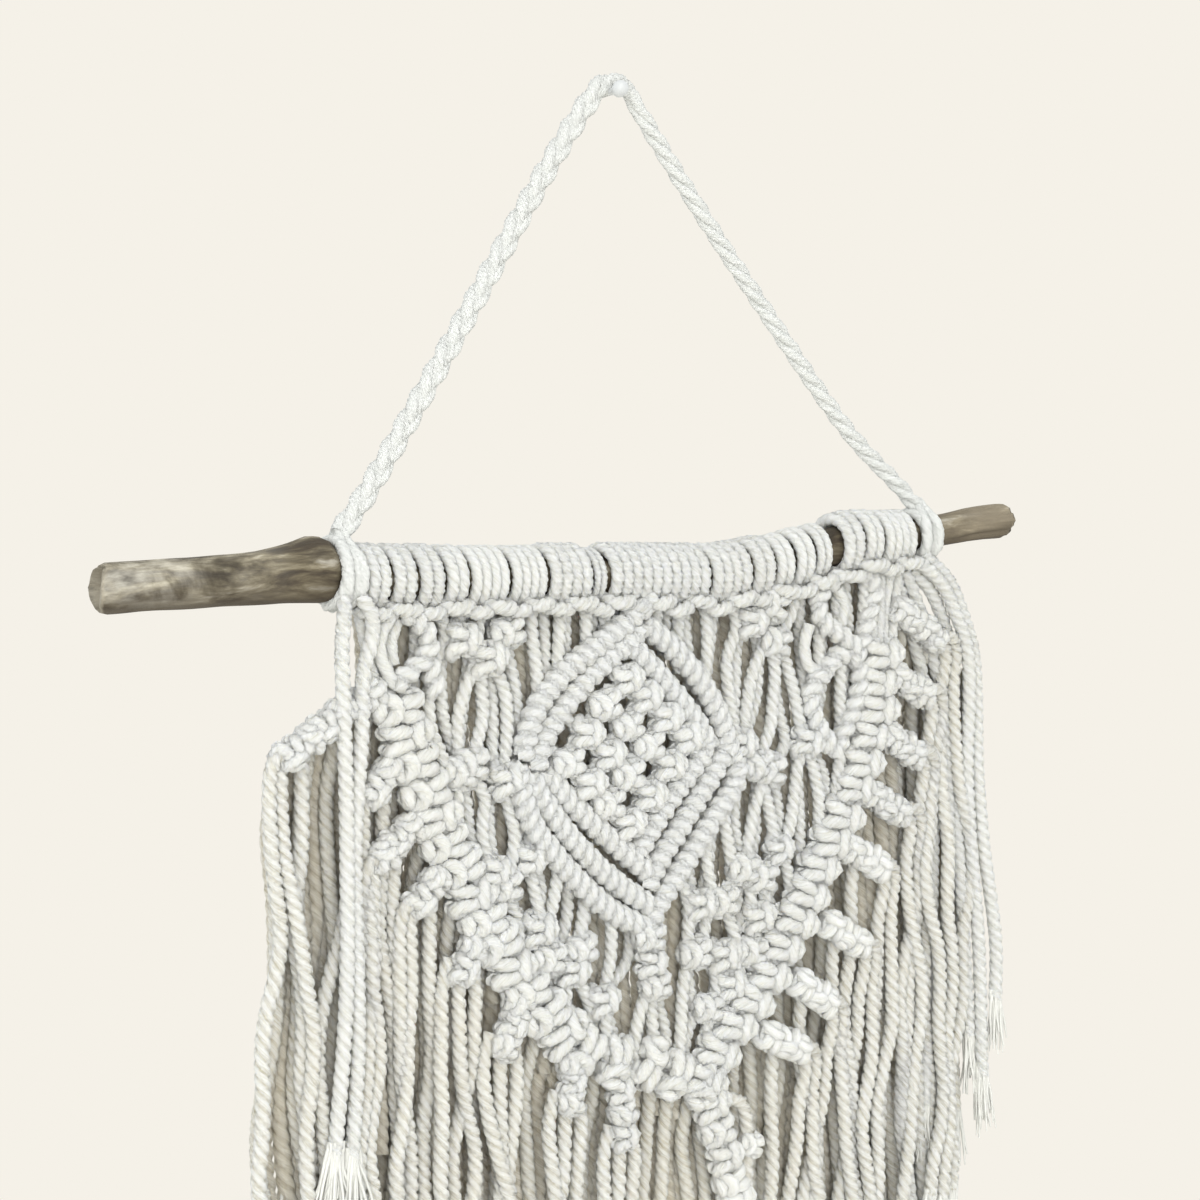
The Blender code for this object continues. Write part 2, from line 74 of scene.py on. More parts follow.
def newMaterial(name):
    made = bpy.data.materials.new(name)
    made.use_nodes = True
    return made, made.node_tree, made.node_tree.nodes["Principled BSDF"]


def dressShader(tree, shader, colour, bump, values):  # its colour, its bump and what is even all over
    tree.links.new(colour.outputs[2], shader.inputs["Base Color"])
    tree.links.new(bump.outputs[0], shader.inputs["Normal"])
    for name, value in values.items():
        shader.inputs[name].default_value = value


def addObject(name, data):
    made = bpy.data.objects.new(name, data)
    bpy.context.scene.collection.objects.link(made)
    return made


def addPiece(name, mesh, material):
    mesh.materials.append(material)
    return addObject(name, mesh)


def solidPiece(name, work, material):  # the finished bmesh as a piece, smooth but for its flat ends
    mesh = bpy.data.meshes.new(name)
    work.to_mesh(mesh)
    work.free()
    for polygon in mesh.polygons:
        polygon.use_smooth = len(polygon.vertices) <= 4
    return addPiece(name, mesh, material)


def place(u, d, depth, radius):  # millimetres on the panel to metres in the frame, with the radius as w
    return Vector((panel["middle"] + u, -depth, -panel["rodDrop"] - d, radius)) * unit


def thickened(where, radius):  # a point of a run, with its radius in mm as w
    return Vector((*where, radius * unit))


def rodAt(u):  # the rod's d and radius at u
    for start, end in zip(rodLine, rodLine[1:]):
        if u <= end[0]:
            share = (u - start[0]) / (end[0] - start[0])
            return start[1] + (end[1] - start[1]) * share, start[2] + (end[2] - start[2]) * share
    return rodLine[-1][1], rodLine[-1][2]


def rodUnder(u):  # the d of the rod's underside at u
    return sum(rodAt(u))


def softStep(share):
    share = min(max(share, 0), 1)
    return share * share * (3 - 2 * share)


def evenSpots(reach, count):  # even steps on a line whose points lie at these lengths: stretch, share of it, length
    spots, k = [], 0
    for index in range(count + 1):
        want = reach[-1] * index / count
        while k < len(reach) - 2 and reach[k + 1] < want:
            k += 1
        spots.append((k, (want - reach[k]) / max(reach[k + 1] - reach[k], 1e-9), want))
    return spots


def between(a, b, start, end, t):  # the point at t on the line from a at start to b at end
    return a * ((end - t) / (end - start)) + b * ((t - start) / (end - start))


def smoothRoute(points, step):  # a smooth line through the points, in even steps, and the length up to each
    points = [p for i, p in enumerate(points) if i == 0 or (p - points[i - 1]).length > 1e-5]
    ends = [points[0] * 2 - points[1]] + points + [points[-1] * 2 - points[-2]]
    dense = []
    for a, b, c, e in zip(ends, ends[1:], ends[2:], ends[3:]):
        t1 = sqrt((b - a).length)
        t2 = t1 + sqrt((c - b).length)
        t3 = t2 + sqrt((e - c).length)
        count = max(2, int((c - b).length / (step * unit * 0.6)))
        for index in range(count):
            t = t1 + (t2 - t1) * index / count
            one, two, three = between(a, b, 0, t1, t), between(b, c, t1, t2, t), between(c, e, t2, t3, t)
            four, five = between(one, two, 0, t2, t), between(two, three, t1, t3, t)
            dense.append(between(four, five, t1, t2, t))
    dense.append(points[-1])
    reach = [0]
    for a, b in zip(dense, dense[1:]):
        reach.append(reach[-1] + (b.xyz - a.xyz).length)
    spots = evenSpots(reach, max(2, round(reach[-1] / (step * unit))))
    return [dense[k].lerp(dense[k + 1], share) for k, share, _ in spots], [length for _, _, length in spots]


def plyShape(share, valley):  # how far out a ply's skin is, share being the way across it
    return valley + (1 - valley) * sin(pi * share) ** cord["round"]


def plySection(plies, perPly, valley):  # the cord's section: round plies with valleys between them
    curve = bpy.data.curves.new("plySection", "CURVE")
    curve.dimensions = "2D"
    spline = curve.splines.new("POLY")
    total = plies * perPly
    spline.points.add(total - 1)
    for index in range(total):
        reach = plyShape((index % perPly) / perPly, valley)
        angle = -tau * index / total
        spline.points[index].co = (reach * cos(angle) * unit, reach * sin(angle) * unit, 0, 1)
    spline.use_cyclic_u = True
    return addObject("plySection", curve)


def layCords(name, runs, material, step=cord["step"], perPly=cord["perPly"], plies=cord["plies"],
             pitch=cord["plyPitch"], valley=cord["valley"]):
    # twisted cords along the runs, as one mesh with the plies' valleys and the cord's length on it
    if plies == 1:
        valley = 1
    section = plySection(plies, perPly, valley)
    around = plies * perPly
    curve = bpy.data.curves.new(name, "CURVE")
    curve.dimensions = "3D"
    curve.bevel_mode = "OBJECT"
    curve.bevel_object = section
    curve.use_fill_caps = True
    along, radii = [], []
    for number, run in enumerate(runs):
        route, lengths = smoothRoute(run, step)
        spline = curve.splines.new("POLY")
        spline.points.add(len(route) - 1)
        scale = (route[len(route) // 2].w / unit) / cord["radius"]
        for point, spot, length in zip(spline.points, route, lengths):
            point.co = (*spot.xyz, 1)
            point.radius = spot.w / unit
            point.tilt = cord["turnEach"] * number - tau * length / (pitch * unit * max(scale, 0.5))
            along.append(length + cord["slideEach"] * number)
            radii.append(spot.w)
    guide = addObject(name + "Guide", curve)
    bpy.context.view_layer.update()
    mesh = bpy.data.meshes.new_from_object(guide.evaluated_get(bpy.context.evaluated_depsgraph_get()))
    bpy.data.objects.remove(guide)
    bpy.data.objects.remove(section)
    mesh.name = name
    count = len(mesh.vertices)
    # the groove value, 1 in the valleys between the plies, drives the painted shade there in the cotton's colour
    share = (np.arange(count) % around % perPly) / perPly
    groove = (1 - np.sin(np.pi * share) ** cord["round"]) * (1 - valley) / (1 - cord["valley"])
    mesh.attributes.new("groove", "FLOAT", "POINT").data.foreach_set("value", groove.astype(np.float32))
    vertexOf = np.empty(len(mesh.loops), np.int64)
    mesh.loops.foreach_get("vertex_index", vertexOf)
    sides = np.empty(len(mesh.polygons), np.int64)
    mesh.polygons.foreach_get("loop_total", sides)
    faceOf = np.repeat(np.arange(len(sides)), sides)
    loopU = (vertexOf % around).astype(float)
    highest = np.zeros(len(sides))
    np.maximum.at(highest, faceOf, loopU)
    loopU[(highest[faceOf] == around - 1) & (loopU == 0) & (sides[faceOf] == 4)] = around  # closes the round
    capRings = count // around - len(along)  # the end caps come first, with vertices of their own
    ring = np.maximum(vertexOf // around - capRings, 0)
    uv = np.empty((len(vertexOf), 2), np.float32)
    uv[:, 0] = loopU / around * tau * np.array(radii)[ring] / unit * uvScale
    uv[:, 1] = np.array(along)[ring] / unit * uvScale
    mesh.uv_layers["UVMap"].data.foreach_set("uv", uv.ravel())  # in real size instead of 0 to 1
    mesh.shade_smooth()
    piece = addPiece(name, mesh, material)
    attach(piece, "root")
    print(name, "cords", len(runs), "triangles", sum(sides - 2))
    return piece


def layKnots(name, runs, material, step=cord["step"]):  # pulled tight, the plies lie flat and hardly show
    return layCords(name, runs, material, step, pitch=cord["knotPitch"], valley=cord["knotValley"])


# one square knot, point by point: across, along, out in mm, and how full the cord is there
overCord = ((-1.8, -4.6, -1.2, 0.85), (-4.2, -3.5, 0.4, 0.95), (-5, -2.3, 1.6, 1.02), (-3.4, -1.85, 2.6, 1.04),
            (-1, -1.5, 2.9, 0.98), (0.9, -0.8, 2.3, 0.92), (1.7, 0.2, 1.8, 0.9), (0.9, 1.2, 2.3, 0.92),
            (-1, 1.8, 2.9, 0.98), (-3.4, 2, 2.6, 1.04), (-5, 2.5, 1.6, 1.02), (-4.2, 3.7, 0.4, 0.95),
            (-1.8, 4.8, -1.2, 0.85))
underCord = ((4.6, -3.4, -0.2, 0.9), (3, -2.7, 2.2, 0.98), (1.9, -1.1, 3.4, 1.04), (1.8, 0.8, 3.5, 1.04),
             (2.8, 2.3, 2.4, 0.98), (4.4, 3.2, 0, 0.9))
edgeCord = ((3.2, -2.6, -1.6, 0.92), (4.9, -2, 0.8, 1), (5.6, -0.3, 2, 1.06), (5, 1.5, 0.9, 1),
            (3.2, 2.4, -1.4, 0.92))
behindCord = ((-5.2, -2, 0.2, 1), (-3.6, -1.4, -2, 1.1), (0, -1.2, -2.4, 1.15), (3.8, -1, -1.9, 1.1),
              (5.4, 0.2, -0.6, 1), (3.8, 1.4, -1.9, 1.1), (0, 1.7, -2.4, 1.15), (-3.6, 1.9, -2, 1.1),
              (-5.2, 2.2, 0.2, 1))
coreCords = (((-2.2, -4.6, 0.3, 1), (-2.3, 0, 0.5, 1.15), (-2.2, 4.6, 0.3, 1)),
             ((2.2, -4.6, 0.3, 1), (2.3, 0, 0.5, 1.15), (2.2, 4.6, 0.3, 1)))
byHand = {"lean": 8, "grow": (0.94, 1.07), "aside": 0.4, "down": 0.3, "full": (0.96, 1.06), "stray": 0.18}


def either(most):  # up to so much either way, by hand
    return dice.uniform(-most, most)


def squareKnot(u, d, depth, lean, size, side):
    # the cords of one square knot, size = (across, along, cord radius); side puts its bump left or right
    turn = radians(lean + either(byHand["lean"]))
    grow = dice.uniform(*byHand["grow"])
    u += either(byHand["aside"])
    d += either(byHand["down"])
    radius = size[2] * dice.uniform(*byHand["full"])
    runs = []
    for table in (overCord, underCord, edgeCord, behindCord, *coreCords):
        run = []
        for across, along, out, full in table:
            x = (across * size[0] * grow + either(byHand["stray"])) * side
            y = along * size[1] * grow + either(byHand["stray"])
            run.append(place(u + x * cos(turn) - y * sin(turn), d + x * sin(turn) + y * cos(turn),
                             depth + out * size[1], radius * full))
        runs.append(run)
    return runs


def evenly(points, pitch):  # places at an even pitch along a bent line of (u, d)
    reach = [0]
    for a, b in zip(points, points[1:]):
        reach.append(reach[-1] + dist(a, b))
    return [tuple(a + (b - a) * share for a, b in zip(points[k], points[k + 1]))
            for k, share, _ in evenSpots(reach, max(1, round(reach[-1] / pitch)))]


def sidesOf(ahead):  # outwards from the wall and sideways, square to the way ahead
    out = Vector((0, -1, 0))
    out = (out - ahead * out.dot(ahead)).normalized()
    return out, ahead.cross(out)


def hitchRow(points, depth, row, lean):  # half hitches side by side: one cord wound round a core along a line
    line = [place(u, d, depth, 1) for u, d in points]
    route, lengths = smoothRoute(line, 0.5)
    turns = lengths[-1] / unit / row["pitch"]
    count = int(turns * 12)
    reach = row["coilRadius"] * unit
    last = len(route) - 1
    wound = []
    for index in range(count + 1):
        angle = tau * turns * index / count
        spot = index / count * last
        k = min(int(spot), last - 1)
        centre = route[k].lerp(route[k + 1], spot - k).xyz
        ahead = (route[min(k + 3, last)].xyz - route[max(k - 2, 0)].xyz).normalized()
        out, sideways = sidesOf(ahead)
        aslant = lean * reach * sin(angle)
        where = centre + (out * cos(angle) * 0.92 + sideways * sin(angle)) * reach + ahead * aslant
        wound.append(thickened(where, row["cordRadius"]))
    return [wound, [thickened(p.xyz, row["core"]) for p in line]]


# materials
def cottonCord(name, pale, shade, warm, warmShare, soft=0.4, pileHeight=0.9):
    # twisted cotton string, carded, plied and undyed: matt, with loose fibres that catch light and shade
    made, tree, shader = newMaterial(name)
    groove = addNode(tree, "Attribute", {"attribute_name": "groove"})
    line = addNode(tree, "UVMap", {"uv_map": "UVMap"})
    where = addNode(tree, "TexCoord")
    # yarns lie along the cord about 0.7 mm apart, single fibres half that
    yarnWays = addNode(tree, "Mapping", {"Scale": (140, 22, 1)}, {"Vector": line.outputs["UV"]})
    fibreWays = addNode(tree, "Mapping", {"Scale": (330, 60, 1)}, {"Vector": line.outputs["UV"]})
    noises = []
    for ways, scale, detail, roughness, distortion in (
            (yarnWays, 1, 2, 0.55, 0.4), (fibreWays, 1, 3, 0.7, 0),
            (where.outputs["Object"], 1700, 3, 0.75, 0), (where.outputs["Object"], 22, 2, 0.5, 0)):
        noises.append(addNode(tree, "TexNoise", {"Scale": scale, "Detail": detail, "Roughness": roughness,
                                                 "Distortion": distortion}, {"Vector": ways}))
    yarns, fibres, lint, tint = noises
    ranges = []
    for pattern, low, high, most in ((yarns, 0.5, 0.72, 0.65), (fibres, 0.52, 0.75, 0.5), (tint, 0.4, 0.7, warmShare)):
        ranges.append(addNode(tree, "MapRange", {"From Min": low, "From Max": high, "To Max": most},
                              {"Value": pattern}))
    dark, streak, share = ranges
    # painted shade: the colour darkens in the plies' valleys by the groove value
    grooveShade = addNode(tree, "Math", {"operation": "MULTIPLY", 1: 0.5}, {0: groove.outputs["Fac"]})
    first = addNode(tree, "Math", {"operation": "ADD"}, {0: grooveShade, 1: streak})
    both = addNode(tree, "Math", {"operation": "ADD", "use_clamp": True}, {0: first, 1: dark})
    # the shade colour is both the painted shade in the valleys and the dark yarn and fibre streaks
    plies = addNode(tree, "Mix", {"data_type": "RGBA", 6: hexLinear(pale), 7: hexLinear(shade)}, {0: both})
    colour = addNode(tree, "Mix", {"data_type": "RGBA", 7: hexLinear(warm)}, {0: share, 6: plies.outputs[2]})
    rough = addNode(tree, "Math", {"operation": "ADD"}, {0: yarns, 1: fibres})
    pile = addNode(tree, "Math", {"operation": "ADD"}, {0: rough, 1: lint})
    fuzz = addNode(tree, "Bump", {"Strength": 1, "Distance": pileHeight * unit}, {"Height": pile})
    dressShader(tree, shader, colour, fuzz, {
        "Roughness": 0.95, "Specular IOR Level": 0.2, "Sheen Weight": 0.25, "Sheen Roughness": 0.6,
        "Subsurface Weight": soft, "Subsurface Radius": (1, 0.95, 0.82), "Subsurface Scale": 0.0016})
    return made


def weatheredDriftwood():
    # driftwood: bark gone, silvered and stained by salt water; long grey-brown streaks, dry and matt
    made, tree, shader = newMaterial("weatheredDriftwood")
    where = addNode(tree, "TexCoord")
    noises = []
    for spot, scale, detail, roughness, distortion in (  # streaks, blotches and fine grain, all longest along the rod
            ((0, 0, 0), (52, 210, 210), 6, 0.6, 0.45),
            ((1.7, 0.6, 2.2), (42, 66, 66), 5, 0.58, 0.4),
            ((0, 0, 0), (130, 1300, 1300), 4, 0.7, 0)):
        ways = addNode(tree, "Mapping", {"Location": spot, "Scale": scale}, {"Vector": where.outputs["Object"]})
        noises.append(addNode(tree, "TexNoise", {"Scale": 1, "Detail": detail, "Roughness": roughness,
                                                 "Distortion": distortion}, {"Vector": ways}))
    streaks, blotches, grain = noises
    ramp = addNode(tree, "ValToRGB", {}, {"Fac": streaks})
    stops = ((0.35, "1f180f"), (0.43, "40372a"), (0.5, "675e4a"), (0.57, "928973"), (0.66, "cec8b9"))
    while len(ramp.color_ramp.elements) < len(stops):
        ramp.color_ramp.elements.new(0.5)
    for element, (position, code) in zip(ramp.color_ramp.elements, stops):
        element.position = position
        element.color = hexLinear(code)
    axes = addNode(tree, "SeparateXYZ", {}, {"Vector": where.outputs["Object"]})
    ways = addNode(tree, "NewGeometry")
    facing = addNode(tree, "SeparateXYZ", {}, {"Vector": ways.outputs["Normal"]})
    off = addNode(tree, "Math", {"operation": "SUBTRACT", 1: panel["middle"] * unit}, {0: axes})
    fromMiddle = addNode(tree, "Math", {"operation": "ABSOLUTE"}, {0: off})
    bare = addNode(tree, "MapRange", {"From Min": 0.4, "From Max": 0.58, "To Min": 1, "To Max": 0},
                   {"Value": blotches})
    layers = (  # what drives it, from, to, its share at each, what thins it, colour
        (axes, -0.15, -0.1, 0.75, 0, bare, "dad5c7"),  # silvered towards the left end
        (blotches, 0.49, 0.62, 0, 0.85, None, "302b22"),  # dark stains
        (axes, 0.1, 0.13, 0, 0.5, None, "a89b84"),  # tan at the right end
        (fromMiddle, 0.118, 0.102, 0, 0.6, streaks, "33291c"),  # painted shade under and between the heading's loops
        (facing.outputs[2], -0.85, 0.1, 0.85, 0, None, "3b3123"),  # painted shade: the underside darker
        (facing, -0.5, -0.9, 0, 0.7, None, "a49c8b"),  # sawn end
        (grain, 0.38, 0.68, 0, 0.35, None, "564d3d"))  # fine grain
    below = ramp
    for driver, low, high, atLow, atHigh, thinner, code in layers:
        share = addNode(tree, "MapRange", {"From Min": low, "From Max": high, "To Min": atLow, "To Max": atHigh},
                        {"Value": driver})
        if thinner:
            share = addNode(tree, "Math", {"operation": "MULTIPLY"}, {0: share, 1: thinner})
        colour = addNode(tree, "Mix", {"data_type": "RGBA", 7: hexLinear(code)}, {0: share, 6: below})
        below = colour.outputs[2]
    height = addNode(tree, "Math", {"operation": "ADD"}, {0: grain, 1: streaks})
    bump = addNode(tree, "Bump", {"Strength": 0.6, "Distance": 0.6 * unit}, {"Height": height})
    dressShader(tree, shader, colour, bump, {"Roughness": 0.85})
    return made


def mouldedPin():
    # a push pin of white plastic, injection moulded: smooth, softly glossy
    made, tree, shader = newMaterial("mouldedWhitePlastic")
    where = addNode(tree, "TexCoord")
    ripples = addNode(tree, "TexNoise", {"Scale": 900, "Detail": 2}, {"Vector": where.outputs["Object"]})
    bump = addNode(tree, "Bump", {"Strength": 0.15, "Distance": 0.2 * unit}, {"Height": ripples})
    colour = addNode(tree, "Mix", {"data_type": "RGBA", 6: hexLinear("c3c5c5"), 7: hexLinear("b9bbbc")}, {0: ripples})
    dressShader(tree, shader, colour, bump, {"Roughness": 0.3})
    return made


panelCotton = cottonCord("twistedCottonString", "fbfcf9", "dddcd1", "f5f2e6", 0.3)
# the same cotton made darker and warmer for the middle course of the fringe: painted shade among the cords
middleShadeCotton = cottonCord("hangingCottonStringPaintedShade", "f7f6ef", "cfc7ae", "eae3d0", 0.45)
frontCotton = cottonCord("outerCottonString", "f9f9f4", "d5cfbb", "f1ecdd", 0.4)
hangerCotton = cottonCord("braidedCottonString", "f3f4f1", "dcdfda", "f0f0ea", 0.2, 0, 0.6)
combedCotton = cottonCord("combedCottonFibres", "e4e4df", "d0d0c9", "dedbd1", 0.3, 0, 0.3)
# the same cotton made darker and warmer for the cords at the back: painted shade
rearShadeCotton = cottonCord("rearCottonStringPaintedShade", "f3eee1", "c9bfa6", "e8dfc9", 0.5)
print("materials ready")

dice = random.Random(11)

# the V of square knots and what leaves it; a knot's size is (across, along, cord radius)
arm = {"pitch": 7.3, "squeeze": 0.62, "proud": 1.2, "knot": (1.08, 1, 1.98),
       "swing": 12, "lean": 0.45, "flatLean": 0.9, "flatFrom": 55}
rightArm = ((79, 25), (78, 32), (77, 43), (74, 51), (71, 59), (66, 67), (62, 75), (56, 83), (52, 91),
            (46, 99), (41, 106), (36, 113), (29, 120), (22, 127), (16, 136))
leftArm = ((-83, 28), (-81, 36), (-76, 47), (-72, 55), (-69, 63), (-64, 71), (-60, 79), (-55, 87),
           (-50, 94), (-44, 103), (-36, 112), (-28, 121), (-18, 125), (-4, 128), (6, 133), (16, 137))
armRuns = []
for side, line in ((1, rightArm), (-1, leftArm)):
    squeezed = [(u * arm["squeeze"], d) for u, d in line]
    spots = [(u / arm["squeeze"], d) for u, d in evenly(squeezed, arm["pitch"])]
    for index, (u, d) in enumerate(spots):
        before, after = spots[max(index - 1, 0)], spots[min(index + 1, len(spots) - 1)]
        steep = degrees(atan2(after[0] - before[0], after[1] - before[1]))  # away from the vertical
        lean = -steep * (arm["lean"] if abs(steep) < arm["flatFrom"] else arm["flatLean"])
        if side < 0:  # the left arm is tied less evenly
            lean += either(arm["swing"])
        flip = -side if side < 0 and index % 3 == 1 else side
        armRuns += squareKnot(u, d, panel["depth"] + arm["proud"], lean, arm["knot"], flip)
armTop = {"depth": 17, "middle": 17.8, "knotDepth": 18.5, "radius": 1.8}
armTops = ((-93, 3, -88, 28), (-90, 4, -85, 30), (-84.5, 22, -82, 31), (-80, 20, -80, 31),  # u, d from and to
           (80.5, 0, 78, 27), (84, 0, 80.5, 26), (87.5, 0, 83, 27), (76.5, 12, 76, 28))
for index, (fromU, fromD, toU, toD) in enumerate(armTops):  # from the heading down to the first knots
    middle = ((fromU + toU) / 2 + sin(2.1 * index), (fromD + toD) / 2, armTop["middle"])
    line = ((fromU, fromD, armTop["depth"] + index % 2), middle, (toU, toD, armTop["knotDepth"]))
    armRuns.append([place(u, d, depth, armTop["radius"]) for u, d, depth in line])
arms = layKnots("knottedArms", armRuns, panelCotton)

branch = {"pitch": 5.8, "sag": -1.6, "longFrom": 8, "proud": 1.4, "knot": (0.52, 0.86, 1.68), "swing": 14}
branches = (  # root u, root d, tip u, tip d
    (-85, 22, -114, 37), (-81, 42, -90, 48), (-75, 57, -87, 65), (-66, 71, -76, 77), (-56, 86, -63, 96),
    (-44, 103, -50, 117), (-28, 120, -29, 135), (-13, 128, -11, 147),
    (82, 12, 100, 22), (81, 31, 95, 37), (78, 47, 92, 54), (71, 63, 87, 70), (64, 78, 79, 84),
    (56, 97, 72, 105), (46, 112, 60, 120), (33, 126, 50, 132))
branchRuns = []
for rootU, rootD, tipU, tipD in branches:
    outward = 1 if tipU > rootU else -1
    along = degrees(atan2(rootU - tipU, tipD - rootD))
    sag = branch["sag"] if abs(tipU - rootU) > branch["longFrom"] else 0
    middle = ((rootU + tipU) / 2, (rootD + tipD) / 2 + sag)
    spots = evenly(((rootU, rootD), middle, (tipU, tipD)), branch["pitch"])
    for index, (u, d) in enumerate(spots[1:], 1):
        branchRuns += squareKnot(u, d, panel["depth"] + branch["proud"], along + either(branch["swing"]),
                                 branch["knot"], outward if index % 2 else -outward)
layKnots("knottedBranches", branchRuns, panelCotton)

group = {"knot": (0.72, 0.92, 1.7), "usual": 0.85}
groupPlaces = (  # u, d, depth, lean, size
    (39, 9, 19, 8, .85), (32, 13, 19, -6, .82), (41, 19, 18.5, 5, .85),
    (29, 46, 18, 6, .82), (35, 52, 18, -10, .82), (52, 47, 18, 8, .85), (39, 54, 18, 4, .82),
    (-64, 12, 19, 6, .85), (-50, 11, 19, -8, .85), (-56, 17, 19, 5, .9),
    (-61, 44, 18, 8, .85), (-50, 49, 18.5, -5, .9), (-64, 46, 18, 0, .85), (-53, 72, 18, 6, .85),
    (-50, 76, 18, -8, .85), (-42, 70, 18, 0, .85),
    (36, 83, 18, 5, .85), (43, 76, 18, -6, .8), (30, 80, 18, 8, .82), (15, 88, 18, -4, .85), (23, 88, 18, 6, .85),
    (35, 94, 18, -5, .85), (13, 101, 18, 5, .85), (23, 103, 18, 0, .85), (33, 103, 18, 8, .85),
    (25, 111, 18, -6, .85), (18, 116, 18, 4, .82), (-39, 89, 18, 6, .85), (-25, 95, 18, -8, .82),
    (-28, 101, 18, 4, .85), (-36, 97, 18, 8, .85), (-18, 110, 18, -4, .85),
    (-4, 94, 20, 0, .8), (-3, 101, 19.5, 4, .8), (-1, 108, 19, -4, .8),
    (19, 143, 18, -10, .95), (21, 150, 18, -14, .92), (24, 158, 18, -16, .9), (26, 165, 17.5, -14, .88),
    (29, 171, 17, -12, .85), (32.5, 156, 19, 10, .62))
groupRuns = []
for index, (u, d, depth, lean, size) in enumerate(groupPlaces):
    sized = [part * (size / group["usual"]) for part in group["knot"]]
    groupRuns += squareKnot(u, d, depth, lean, sized, 1 if index % 2 else -1)
layKnots("knotGroups", groupRuns, panelCotton)
print("knots laid")

# diamond: nested rows of double half hitches round a net of square knots
diamond = {"coilRadius": 1.6, "cordRadius": 1.95, "pitch": 3.6, "core": 2.72, "depth": 20, "lean": 0.25}
bars = (  # (u, d) points of each row, which way its hitches lean
    (((-3.5, 5.5), (-12, 10.9), (-22.2, 16.8), (-32.3, 22.8), (-39.4, 29.3), (-43, 35.6), (-45.3, 43)), -1),
    (((-7.5, 14), (-18.2, 20.3), (-26.3, 26.2), (-33.4, 32.9), (-38.8, 40), (-41, 46)), -1),
    (((-5.8, 11.5), (2.6, 17.2), (11.1, 25.2), (17.6, 33.4), (21.6, 41.2), (23.5, 47)), 1),
    (((-9.9, 16.8), (-1.6, 24.4), (5.8, 31.7), (12.2, 38.8), (16.5, 45.5)), 1),
    (((-38.5, 47.6), (-27.6, 58.2), (-18.5, 65.9), (-10, 72.6), (-3.8, 77.4)), 1),
    (((-43, 47.5), (-40, 53), (-32.4, 62.8), (-23.3, 71.9), (-14, 79.4), (-4.6, 85.5)), 1),
    (((-46.5, 45), (-45.8, 51.5), (-42.4, 60.3), (-35.4, 69), (-25.3, 79), (-15, 86.9), (-4.6, 91.5)), 1),
    (((16, 45.5), (13.3, 48.4), (6.7, 54.8), (0.9, 61), (-4.4, 67.2), (-7.5, 72)), -1),
    (((22.5, 46), (18.7, 51.8), (12.8, 58.8), (6.4, 66.5), (0.1, 73.6), (-4.6, 80.5)), -1),
    (((26.5, 49), (25.8, 55.8), (19.8, 62.8), (13, 70.6), (6, 78.4), (-0.4, 85.8), (-5, 92.5)), -1))
barRuns = []
for points, way in bars:
    barRuns += hitchRow(points, diamond["depth"], diamond, way * diamond["lean"])
leaf = {"coilRadius": 1.35, "cordRadius": 1.85, "pitch": 4.3, "core": 2.1, "lean": 0.2}
hitchLeaves = (  # rows that curl beside the arms: (u, d) points, depth
    (((73, 1.2), (76.5, 6.5), (74.8, 12.4), (73.1, 18.4), (70.5, 24.2), (71.5, 31.2), (69.8, 38), (65.9, 44.6),
      (63, 50.4)), 19),
    (((62.9, 2.5), (57.2, 5.4), (55, 10.4), (57.9, 15.3), (63.6, 18.6), (69, 22.6)), 20),
    (((60.3, 27.8), (55.2, 30), (52.4, 34.9), (54.7, 41.1), (59.3, 47.4), (62.2, 51.1)), 19.5),
    (((57, 28.6), (63.6, 23.9), (70, 25)), 19.5),
    (((-81.3, 4), (-76.5, 7.8), (-74.3, 12.1), (-76.5, 16.2), (-81.3, 19.5), (-85, 22)), 20.5),
    (((-74.7, 15), (-73, 19.8), (-71.8, 25)), 19.5))
for points, depth in hitchLeaves:
    barRuns += hitchRow(points, depth, leaf, leaf["lean"])
leafCords = (  # single cords that close a leaf
    (((62.9, 5.7), (65.3, 10.1), (64.7, 14.4), (63, 18.1)), 19),
    (((52.8, 15), (51.1, 20.4), (52.9, 26.4), (58.6, 28.5)), 19),
    (((-84.7, 3.5), (-88.3, 8.1), (-89.3, 12.9), (-86.8, 18.9), (-84.9, 22)), 20.5),
    (((-82.5, 6), (-84.5, 11), (-84, 17)), 18.5))
for points, depth in leafCords:
    barRuns.append([place(u, d, depth, leaf["cordRadius"]) for u, d in points])
layKnots("hitchRows", barRuns, panelCotton, step=1.1)

net = {"across": 13.2, "rise": -0.08, "depth": 20.6, "lean": -4, "knot": (0.66, 0.86, 1.75), "cordRadius": 1.55}
netRows = (  # d, knots, middle u: one to four knots a row, each between two of the row above
    (25.4, 1, -12.6), (31.2, 2, -12.8), (37.5, 3, -12.2), (43.9, 4, -11.6),
    (50.4, 3, -11.6), (57, 2, -11.4), (63.4, 1, -11))
netRuns = []
for d, count, middle in netRows:
    for index in range(count):
        aside = net["across"] * (index - (count - 1) / 2)
        u, down = middle + aside, d + net["rise"] * aside
        netRuns += squareKnot(u, down, net["depth"], net["lean"], net["knot"], 1 if (index + count) % 2 else -1)
        for side in (-1, 1):  # its cords go on to the knots above and below
            for way in (-1, 1):
                netRuns.append([place(u + side * 1.6, down + way, net["depth"] - 0.4, net["cordRadius"]),
                                place(u + side * 6.2, down + way * 5.2, net["depth"] - 1.2, net["cordRadius"])])
layKnots("knottedNet", netRuns, panelCotton, step=1)
print("diamond laid")

